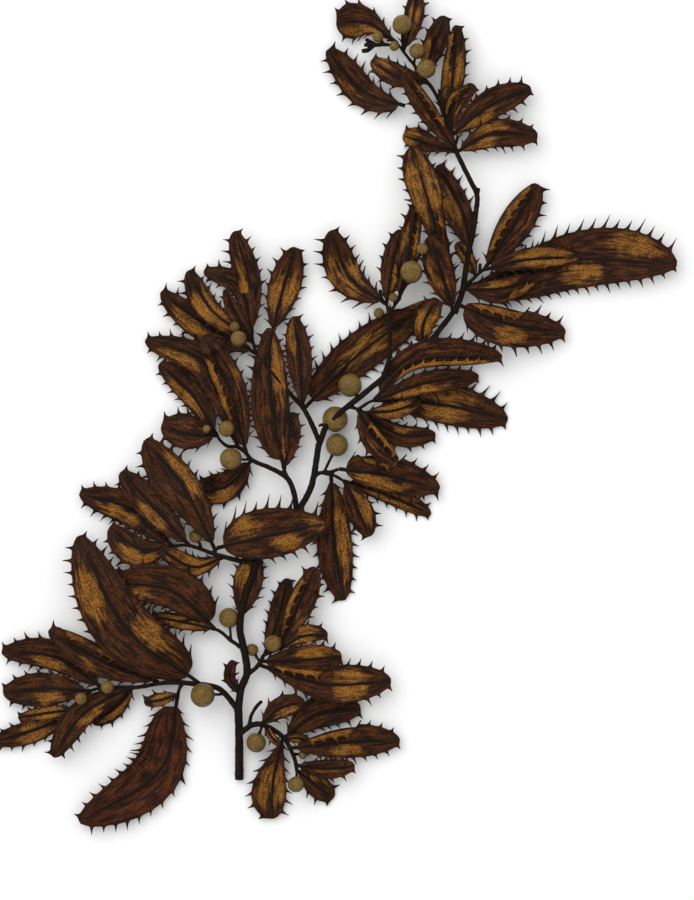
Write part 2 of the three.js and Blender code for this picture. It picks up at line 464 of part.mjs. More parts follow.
// The leaf's stations: place and direction along its midrib, half widths, fold.
function stationsOf([, node, foot, mid, tip, left, right, more]) {
  const base = more.small ? rootInside(node, foot, mid) : foot;
  const curve = new THREE.CatmullRomCurve3([base, mid, tip].map(([x, y]) => new THREE.Vector3(x, y, 0)));
  const length = curve.getLength();
  const count = more.small ? (length > 14 ? 4 : 3) : length > 30 ? 6 : 5;
  const [leftPeak, rightPeak] = Array.isArray(more.peak) ? more.peak : Array(2).fill(more.peak ?? 0.55);
  const list = [];
  for (let k = 0; k <= count; k++) {
    const share = Math.pow(Math.max(0, k - 1) / (count - 1), 0.9);
    const u = k === 0 ? 0 : STALK_SHARE + (1 - STALK_SHARE) * share;
    const at = curve.getPointAt(Math.min(1, u));
    const way = curve.getTangentAt(Math.min(1, u));
    const end = k === count;
    const side = (full, peak) => (end ? 0 : halfWidthAt(Math.min(u, 0.955), full, peak));
    const place = { x: at.x, y: at.y, nx: -way.y, ny: way.x };
    list.push({ u, s: u * length, ...place, left: side(left, leftPeak), right: side(right, rightPeak), end });
  }
  const spike = Math.min(TOOTH_MOST, 0.8 + 0.22 * Math.max(left, right));
  return { list, length, spike, curl: more.curl ?? 0, fold: more.fold };
}

// Columns of one station, round its section: left margin, under the midrib, right margin, fold edge, fold
// crease, over the midrib. Heights are over the station's own height; sides without a fold share the margin's vertex.
function sectionOf(st, fold) {
  const folded = fold && st.u >= fold[1] && st.u <= fold[2] && !st.end;
  const at = (offset, z) => ({ x: st.x + st.nx * offset, y: st.y + st.ny * offset, z });
  const half = MIDRIB / 2;
  const left = at(st.left, half + CUP * st.left);
  const right = at(-st.right, half + CUP * st.right);
  if (st.end) return { left, under: left, right: left, edge: left, crease: left, over: left };
  const sign = fold && fold[0] === "left" ? 1 : -1;
  const wide = sign > 0 ? st.left : st.right;
  const margin = sign > 0 ? left : right;
  const edge = folded ? at(sign * wide * 0.42, MIDRIB + CUP * wide * 0.5 + FLAP_RISE) : margin;
  const crease = folded ? at(sign * wide * 0.8, half + 0.25 + CUP * wide) : margin;
  return { left, under: at(0, 0), right, edge, crease, over: at(0, MIDRIB) };
}

function leafShape(row) {
  const more = row[7];
  const shape = stationsOf(row);
  const { list, fold, spike } = shape;
  const points = []; // {x, y, z, k, f}: z over the height at station k + f
  const add = (p, k, f = 0) => points.push({ ...p, k, f }) - 1;
  const leftFold = fold && fold[0] === "left";
  const columns = list.map((st, k) => {
    const s = sectionOf(st, fold);
    if (st.end) {
      const tip = add(s.left, k);
      return { left: tip, under: tip, right: tip, edge: tip, crease: tip, over: tip, raw: s, folded: false };
    }
    const left = add(s.left, k);
    const under = add(s.under, k);
    const right = add(s.right, k);
    const margin = leftFold ? left : right;
    const folded = s.edge !== (leftFold ? s.left : s.right);
    const edge = folded ? add(s.edge, k) : margin;
    const crease = folded ? add(s.crease, k) : margin;
    const over = add(s.over, k);
    return { left, under, right, edge, crease, over, raw: s, folded };
  });
  // The teeth: a spike and its foot on each stretch of a margin, or of a fold's edge.
  const teeth = { left: [], right: [], edge: [] };
  for (let k = 1; k < list.length - 1; k++) {
    const a = columns[k];
    const b = columns[k + 1];
    const tooth = (name, sign) => {
      const p = a.raw[name];
      const q = b.raw[name];
      const grow = 0.75 + 0.25 * ((k * 7) % 3);
      const rise = name === "edge" ? slopeOf(p, leftFold ? a.raw.left : a.raw.right) : 0;
      const mix = (f, out) => ({
        x: p.x + (q.x - p.x) * f + sign * list[k].nx * out,
        y: p.y + (q.y - p.y) * f + sign * list[k].ny * out,
        z: p.z + (q.z - p.z) * f + rise * out,
      });
      const tip = mix(0.42, spike * grow);
      const foot = mix(0.46, 0.1);
      return [add(tip, k, 0.42), add(foot, k, 0.46)];
    };
    const both = a.folded && b.folded;
    const bare = (side) => (more.small && k % 2 === side) || (a.folded || b.folded);
    teeth.left[k] = (leftFold || more.small) && bare(0) ? [] : tooth("left", 1);
    teeth.right[k] = (!leftFold || more.small) && bare(1) ? [] : tooth("right", -1);
    teeth.edge[k] = both ? tooth("edge", leftFold ? -1 : 1) : [];
  }
  const order = leftFold
    ? ["right", "under", "left", "edge", "crease", "over"]
    : ["left", "under", "right", "edge", "crease", "over"];
  const faces = [];
  for (let k = 0; k < list.length - 1; k++) {
    order.forEach((name, j) => {
      const next = order[(j + 1) % order.length];
      const chain = (n) => [columns[k][n], ...((n in teeth && teeth[n][k]) || []), columns[k + 1][n]];
      zip(chain(name), chain(next), points, faces);
    });
  }
  const c = columns[0];
  faces.push([c[order[0]], c.under, c.over], [c.under, c[order[2]], c.over]);
  return { ...shape, points, faces: faces.filter((f) => new Set(f).size === 3) };
}

// Fills the strip between two chains of vertices.
function zip(a, b, points, faces) {
  const far = (p, q) => Math.hypot(points[p].x - points[q].x, points[p].y - points[q].y);
  let i = 0;
  let j = 0;
  while (i < a.length - 1 || j < b.length - 1) {
    const stepA = j === b.length - 1 || (i < a.length - 1 && far(a[i + 1], b[j]) <= far(a[i], b[j + 1]));
    if (stepA) {
      faces.push([a[i], a[i + 1], b[j]]);
      i++;
    } else {
      faces.push([a[i], b[j + 1], b[j]]);
      j++;
    }
  }
}

// Rise per mm from a margin to a fold's free edge: teeth on that edge go on at the same slope.
function slopeOf(edge, margin) {
  return (edge.z - margin.z) / Math.hypot(edge.x - margin.x, edge.y - margin.y);
}

// Finds the height of each station: down from the stem to the table, over all that lies in the way.
function layLeaf(row, shape) {
  const { list, points, faces, curl } = shape;
  const from = nearestOn(row[1], row[2]);
  const start = from[2] - MIDRIB / 2;
  const need = list.map((st) => Math.max(0, start - DROOP * st.s) + curl * st.u * st.u);
  for (const face of faces) {
    const p = face.map((i) => points[i]);
    const low = Math.min(...p.map((q) => q.k));
    if (low < 1) continue;
    const high = Math.min(list.length - 1, Math.max(...p.map((q) => q.k + (q.f > 0 ? 1 : 0))));
    sampleTriangle([p[0].x, p[0].y], [p[1].x, p[1].y], [p[2].x, p[2].y], (x, y, w) => {
      if (Math.hypot(x - from[0], y - from[1]) < FORK_REACH) return;
      const own = w[0] * p[0].z + w[1] * p[1].z + w[2] * p[2].z;
      const under = heightAt(x, y);
      if (under === 0) return;
      const want = under + LAY_GAP - own;
      for (let k = low; k <= high; k++) need[k] = Math.max(need[k], want);
    });
  }
  const z = list.map((st, k) =>
    k === 0 ? start : Math.max(...list.map((other, j) => need[j] - MAX_SLOPE * Math.abs(other.s - st.s))),
  );
  return z;
}

function placed(shape, z) {
  return shape.points.map((p) => {
    const lift = p.f > 0 ? z[p.k] + (z[p.k + 1] - z[p.k]) * p.f : z[p.k];
    return [p.x, p.y, p.z + lift];
  });
}

const ownLeaves = [];

function growLeaf(row) {
  const [name, node, base, , , , , more] = row;
  const shape = leafShape(row);
  const z = layLeaf(row, shape);
  const points = placed(shape, z);
  for (const f of shape.faces) {
    const [a, b, c] = f.map((i) => points[i]);
    sampleTriangle(a, b, c, (x, y, w) => raiseTo(x, y, w[0] * a[2] + w[1] * b[2] + w[2] * c[2]));
  }
  const solid = solidOf(points, shape.faces);
  if (more.small) {
    addBody(node, solid);
    return;
  }
  ownLeaves.push({ name, node, base, solid });
}

// A leaf keeps clear of the stem that carries it: a thicker copy of the stem near its stalk is taken away.
function freeOf(solid, node, base) {
  let made = solid;
  for (const list of stemRuns.get(node)) {
    const near = list.filter((p) => Math.hypot(p[0] - base[0], p[1] - base[1]) < FREE_REACH);
    if (near.length < 2) continue;
    const last = near[near.length - 1];
    const before = near[near.length - 2];
    const past = last.map((v, i) => v + ((v - before[i]) * GAP) / CELL);
    const ends = [near[0], near[Math.floor(near.length / 2)], list[list.length - 1] === last ? past : last];
    const r = Math.max(...near.map((p) => p[3])) + GAP + 0.15;
    made = made.subtract(tube(ends.map((p) => p.slice(0, 3)), r, r, STALK_SIDES));
  }
  return largest(made);
}

function largest(solid) {
  return solid.decompose().reduce((a, b) => (b.volume() > a.volume() ? b : a));
}

// Where two pieces still touch at a fork, the later one gives way to a slightly grown copy of the earlier.
function finish(name, solid) {
  let made = solid.simplify(DETAIL);
  for (const [, other] of finished) {
    const shared = made.intersect(other);
    if (shared.volume() === 0) continue;
    const shifts = [[GAP, 0, 0], [-GAP, 0, 0], [0, GAP, 0], [0, -GAP, 0], [0, 0, GAP], [0, 0, -GAP]];
    for (const part of shared.decompose()) {
      made = made.subtract(wasm.Manifold.hull(shifts.map((shift) => part.translate(shift))));
    }
    made = largest(made);
  }
  finished.push([name, made]);
}

export const group = new THREE.Group();
group.name = "sargassum";

growStems();
LEAVES_UNDER.forEach(growLeaf);
growBladders();
layStems();
LEAVES_OVER.forEach(growLeaf);

const finished = []; // [name, solid], each clear of all before it
for (const [node, solids] of bodies) finish(node, wasm.Manifold.union(solids));
for (const { name, node, base, solid } of ownLeaves) finish(name, freeOf(solid, node, base));
for (const [name, solid] of finished) group.add(meshOf(name, solid));

group.position.set(-SHEET_CENTRE[0], -SHEET_CENTRE[1], 0);

export default group;
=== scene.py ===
"""A cut sprig of sargassum seaweed lying flat on a pale table, seen from above.

The plan tables are in millimetres, measured from the lower left corner of the sheet that the sprig lies on.
Heights come from the frame, so each leaf lies where its solid lies.
"""

import math
import random

import bmesh
import bpy
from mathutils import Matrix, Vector, noise
from mathutils.bvhtree import BVHTree


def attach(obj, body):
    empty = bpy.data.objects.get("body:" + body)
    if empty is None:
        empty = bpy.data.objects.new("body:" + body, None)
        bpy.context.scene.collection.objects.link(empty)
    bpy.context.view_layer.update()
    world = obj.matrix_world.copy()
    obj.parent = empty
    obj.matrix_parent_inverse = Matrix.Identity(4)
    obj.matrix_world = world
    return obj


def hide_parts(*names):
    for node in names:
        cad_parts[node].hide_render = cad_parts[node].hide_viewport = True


bl_info = {
    "name": "Sargassum sprig",
    "version": (1, 0, 0),
    "blender": (4, 5, 0),
    "location": "View3D > Sidebar > Seaweed",
    "description": "A cut sprig of broad-leaved brown seaweed with toothed leaves and air bladders",
    "category": "Object",
}

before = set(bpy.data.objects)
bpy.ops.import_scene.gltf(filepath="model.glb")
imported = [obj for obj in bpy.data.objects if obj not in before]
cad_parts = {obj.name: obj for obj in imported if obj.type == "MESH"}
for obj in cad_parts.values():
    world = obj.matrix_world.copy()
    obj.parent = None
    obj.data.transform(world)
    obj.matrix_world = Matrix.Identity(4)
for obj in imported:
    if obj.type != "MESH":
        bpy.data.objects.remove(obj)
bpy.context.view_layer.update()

MM = 0.001
SHEET_CENTRE = (100.2, 146.95)  # the frame's origin in the plan, mm
SHEET = (208.2, 270.0)  # the sheet that the camera sees, mm
SHEET_Z = 5.0  # height at which the camera frames the sheet, mm
STEM_Z = 5.0  # usual height of the stems' axis, mm
FORK_OVERLAP = 2.2  # how far a stem reaches back into the one it grows from, mm
LAYER_MOST = 1.9  # a layer of a solid no thicker than this is a leaf, mm
LAYER_JUMP = 1.6  # a leaf's height changes less than this from one reading to the next, mm
STALK_R = 0.5  # radius of an air bladder's stalk, mm
STALK_SAG = 0.25  # how far it sags, mm
STALK_STEPS = 10
WRINKLES = ((1.6, 0.09), (0.6, 0.04))  # a stem's wrinkles: size and height, mm
SKIN_IOR = 1.45
RIB_HALF = 0.42  # half width of the dark line along a midrib, mm
PIT_MM = 0.42  # the pits are finer on the plant; drawn this coarse to show, mm
BLADE_SHADE = "170902"  # pits and shaded skin
BLADE_PAINTED_LIGHT = "6C3D12"  # painted light across the middle of each half of a blade, between the dark skin and the ochre patches
# The ochre patches on the blades are painted light: they stand for the parts of a leaf that are lit.
PAINTED_LIGHT_SOFT = 0.08  # how far the soft edge of a patch of painted light reaches past its stretch, against the leaf's length
PAINTED_LIGHT_PLACES = {  # left, right, both sides, close to the midrib: where across, and how far it reaches
    "L": ((0.5,), 0.52), "R": ((-0.5,), 0.52), "B": ((0.45, -0.45), 0.6), "C": ((0.25, -0.25), 0.4),
}
FOLD_GOLD = 0.85  # how strongly the turned-over part of a folded margin is painted in the ochre of painted light
STREAK_LONG = 5.0  # length of the streaks along a blade, mm
STREAK_WIDE = 0.9  # width of the same streaks, mm
FLOOR_SIZE = 6.0  # m
WORLD_STRENGTH = 0.8
KEY_PLACE = (-0.55, 0.65, 1.1)  # m
KEY_SIZE = 1.4  # m
SENSOR = 36.0  # height of the camera's sensor, mm
RAY_START = 0.01  # the rays that read heights start this far under the table, m
RAY_STEP = 2e-6  # the next ray starts this far past a hit, m
MOST_HITS = 24
SPLINE_STEPS = 16  # from one point of a curve to the next
STEM_STEPS = 6  # steps of a stem's tube for each of its points
NEAR_STEPS = 40  # places along a stem among which the nearest is sought
LEAF_STEPS = 200  # places along a leaf's line from which its stations are read
HEIGHT_ROUNDS = 6  # rounds of smoothing of a leaf's heights
READ_FROM = 0.04  # a leaf's heights are read between these shares of its length
READ_TO = 0.97

# Stems: node, plan points from the older end to the younger, first and last radius, heights.
STEMS = (
    ("main_stem_lower", ((71.7, 35.8), (71.7, 43.5), (71.7, 51.3), (71.5, 57.6)), 1.35, 1.25,
     (1.3, 2.6, 4.4, 5)),
    ("main_stem_middle", ((71.6, 58.2), (72.3, 63.3), (74.1, 68.1), (73.8, 72), (72.9, 76.5), (72, 81),
     (72.3, 85.5), (74.1, 93), (77, 101)), 1.2, 1.1, None),
    ("main_stem_upper", ((77.2, 101.6), (82.5, 108.6), (88.9, 116.2)), 1.1, 1.05, None),
    ("upper_left_arm", ((88.9, 117.4), (88.2, 122.1), (86.4, 126.3), (84, 128.1), (80.4, 129.9),
     (75.6, 132), (73.2, 134.7), (71.1, 135.9), (68.1, 136.2), (66, 138), (64.8, 140.1)), 0.95, 0.5,
     None),
    ("upper_left_arm", ((86.2, 126.6), (85.5, 128.2), (85.2, 129.6)), 0.7, 0.6, None),
    ("right_arm_lower", ((90, 117.6), (92.1, 121.2), (93.6, 124.8), (94.8, 131.1), (95.6, 137)), 1.0,
     0.95, None),
    ("right_arm_lower", ((93.9, 126.9), (96, 128.1), (99, 128.4), (101.7, 129.3)), 0.7, 0.5, None),
    ("right_arm_lower", ((97.2, 128.1), (100.5, 127.2), (103.2, 125.7)), 0.6, 0.45, None),
    ("right_arm_middle", ((96.4, 138.4), (97.8, 141.9), (100.8, 144.9), (104.1, 147.9), (108, 150.9),
     (113.1, 155.1), (120.9, 161.4), (128.4, 167.1), (133.5, 173.1), (136.4, 177)), 0.95, 0.85,
     (5, 5.8, 7.6, 6.8, 6.2, 5.6, 5, 5, 5, 5)),
    ("right_arm_middle", ((104.4, 148), (107.1, 147.3), (109.5, 146.2)), 0.6, 0.45, (6.6, 6, 5.4)),
    ("right_arm_middle", ((107.4, 147.2), (110.4, 149.1), (112.2, 149.9)), 0.55, 0.45, (6, 5.6, 5.3)),
    ("right_arm_upper", ((137.1, 178), (138.6, 182.1), (139.5, 187.5), (140.4, 193.5), (141.9, 200.4),
     (142.8, 206.4), (143.1, 211.5), (141, 216), (138.9, 220.2), (136.9, 224.4)), 0.95, 0.75, None),
    ("right_arm_upper", ((138.9, 183.4), (141.6, 186), (144, 188.3), (145.3, 189.1)), 0.65, 0.5, None),
    ("right_arm_upper", ((143, 211), (143.6, 213.6)), 0.75, 0.6, None),
    ("right_arm_upper", ((143.8, 188.2), (144.1, 191)), 0.45, 0.5, None),
    ("top_branch", ((136.7, 225.2), (135.3, 229.5), (134.1, 234), (132, 239.1), (129.6, 243.6),
     (126.3, 247.8), (123, 252), (120.9, 254.7), (119.2, 257)), 0.75, 0.45, None),
    ("top_branch", ((119.6, 256.4), (115.5, 256.6), (112.5, 256.5), (109.2, 256.5)), 0.45, 0.6, None),
    ("top_branch", ((113.4, 256.5), (111.3, 257.4), (109.6, 258.3)), 0.4, 0.6, None),
    ("top_branch", ((112.6, 256.3), (110.4, 255), (108.5, 254.6)), 0.4, 0.65, None),
    ("top_branch", ((128.7, 244.8), (125.4, 247.2), (122.3, 249.2)), 0.5, 0.6, None),
    ("top_branch", ((125.4, 247.2), (123.6, 247), (121.8, 247.4)), 0.4, 0.55, None),
    ("upper_left_branch", ((94.9, 139.6), (92.7, 144.6), (90.9, 147.6), (88.5, 150.3), (85.5, 153.6),
     (81, 159), (77.1, 163.8), (75.9, 167.4), (75.6, 170.1)), 0.85, 0.5, None),
    ("upper_left_branch", ((79.5, 160.8), (81, 166.5), (81.6, 170.1)), 0.6, 0.5, None),
    ("middle_branch", ((115.6, 158.8), (116.7, 162), (117, 168), (117, 174.6), (116.1, 178.2)), 0.8, 0.6,
     (6.2, 7, 7, 7, 6.6)),
    ("middle_branch", ((116.9, 175.6), (118.5, 178.6), (119.7, 180)), 0.55, 0.5, (6.9, 6.9, 6.8)),
    ("middle_branch", ((116.3, 177.8), (114.3, 180.9), (114, 183)), 0.4, 0.55, (6.6, 6.8, 7)),
    ("lower_left_branch", ((70, 58.8), (68.3, 61), (66, 63.2), (63, 64.3), (58.5, 64.8), (53.4, 65.3),
     (48, 65), (42, 63.9), (36, 63.9), (30, 63.6), (27, 62.7)), 0.95, 0.5, None),
    ("lower_left_branch", ((54.9, 65.4), (53.7, 63), (53.4, 61.2)), 0.65, 0.55, None),
    ("lower_left_branch", ((27.3, 62.8), (25.2, 60), (23.4, 57.3)), 0.5, 0.45, (5, 5, 4.6)),
    ("lower_right_branch", ((73.6, 51.2), (75, 52.2), (78, 52.8), (81.6, 51.3), (84.9, 48.9), (87, 45.6),
     (88.5, 42), (89.1, 38.4)), 0.95, 0.6, None),
    ("lower_right_branch", ((74.6, 52), (75.6, 55.8), (77.1, 58.2), (78.6, 59.7)), 0.6, 0.55, None),
    ("right_side_branch", ((75.4, 68.6), (76.8, 69.6), (78.3, 71.7), (79.2, 73.5), (81.6, 74.4),
     (84.3, 75.6)), 0.8, 0.5, None),
    ("left_side_branch", ((70.9, 76.8), (68.7, 78.3), (66.3, 80.4), (64.5, 81.3)), 0.7, 0.5, None),
    ("left_middle_branch", ((75.6, 101.2), (72, 101.7), (67.5, 102.9), (63.3, 104.1), (59.4, 105.6),
     (55.5, 106.5), (51.9, 106.2)), 0.9, 0.5, None),
    ("left_middle_branch", ((63.9, 103.9), (65.1, 105.6)), 0.7, 0.6, None),
)

HOSTS = tuple(dict.fromkeys(row[0] for row in STEMS))

# Air bladders: node, plan place, radius, start of the stalk.
BLADDERS = (
    ("top_branch", (120.6, 262.2), 3.0, (120.8, 254.8)),
    ("top_branch", (113.4, 258.9), 1.7, (115.5, 256.6)),
    ("top_branch", (118.3, 255.9), 1.5, (119.3, 256.8)),
    ("top_branch", (125.1, 254.4), 2.4, (124, 250.6)),
    ("top_branch", (127.8, 249), 2.9, (126.8, 247.2)),
    ("top_branch", (137.7, 230.1), 1.2, (136.5, 226)),
    ("middle_branch", (123.3, 188.1), 3.4, (119.5, 179.8)),
    ("middle_branch", (126.6, 195), 1.8, (123.3, 188.1)),
    ("middle_branch", (117.9, 180.6), 1.4, (118.5, 178.6)),
    ("middle_branch", (113.7, 176.1), 1.6, (117, 172.5)),
    ("upper_left_branch", (70.5, 171.9), 1.6, (75.7, 169.5)),
    ("upper_left_branch", (71.7, 168.3), 2.4, (75.9, 167.4)),
    ("right_arm_middle", (105, 154.4), 3.6, (107.6, 150.6)),
    ("right_arm_middle", (100.5, 144.3), 3.9, (95.6, 142.2)),
    ("right_arm_lower", (101.1, 136.5), 3.4, (97.2, 128.3)),
    ("upper_left_arm", (68.1, 141.3), 2.5, (72, 135.6)),
    ("upper_left_arm", (69.3, 132.3), 3.4, (75.3, 132.1)),
    ("upper_left_arm", (62.1, 141.3), 1.3, (65, 139.8)),
    ("left_middle_branch", (58.8, 109.2), 2.1, (60.6, 105.2)),
    ("left_side_branch", (68.7, 84.6), 3.1, (69.3, 78)),
    ("right_side_branch", (75.6, 75), 1.9, (78, 71.3)),
    ("right_side_branch", (82, 77), 2.6, (80.1, 73.8)),
    ("lower_left_branch", (60.9, 61.6), 3.7, (68.4, 61.8)),
    ("lower_left_branch", (32.4, 64), 2.0, (35, 63.9)),
    ("lower_left_branch", (24.6, 60.6), 1.9, (27.3, 62.8)),
    ("lower_right_branch", (76.8, 47.1), 3.0, (78.8, 52.6)),
    ("lower_right_branch", (88.8, 34.8), 2.5, (89.1, 38.6)),
    ("lower_right_branch", (90.9, 43.5), 1.4, (87.8, 43.8)),
)
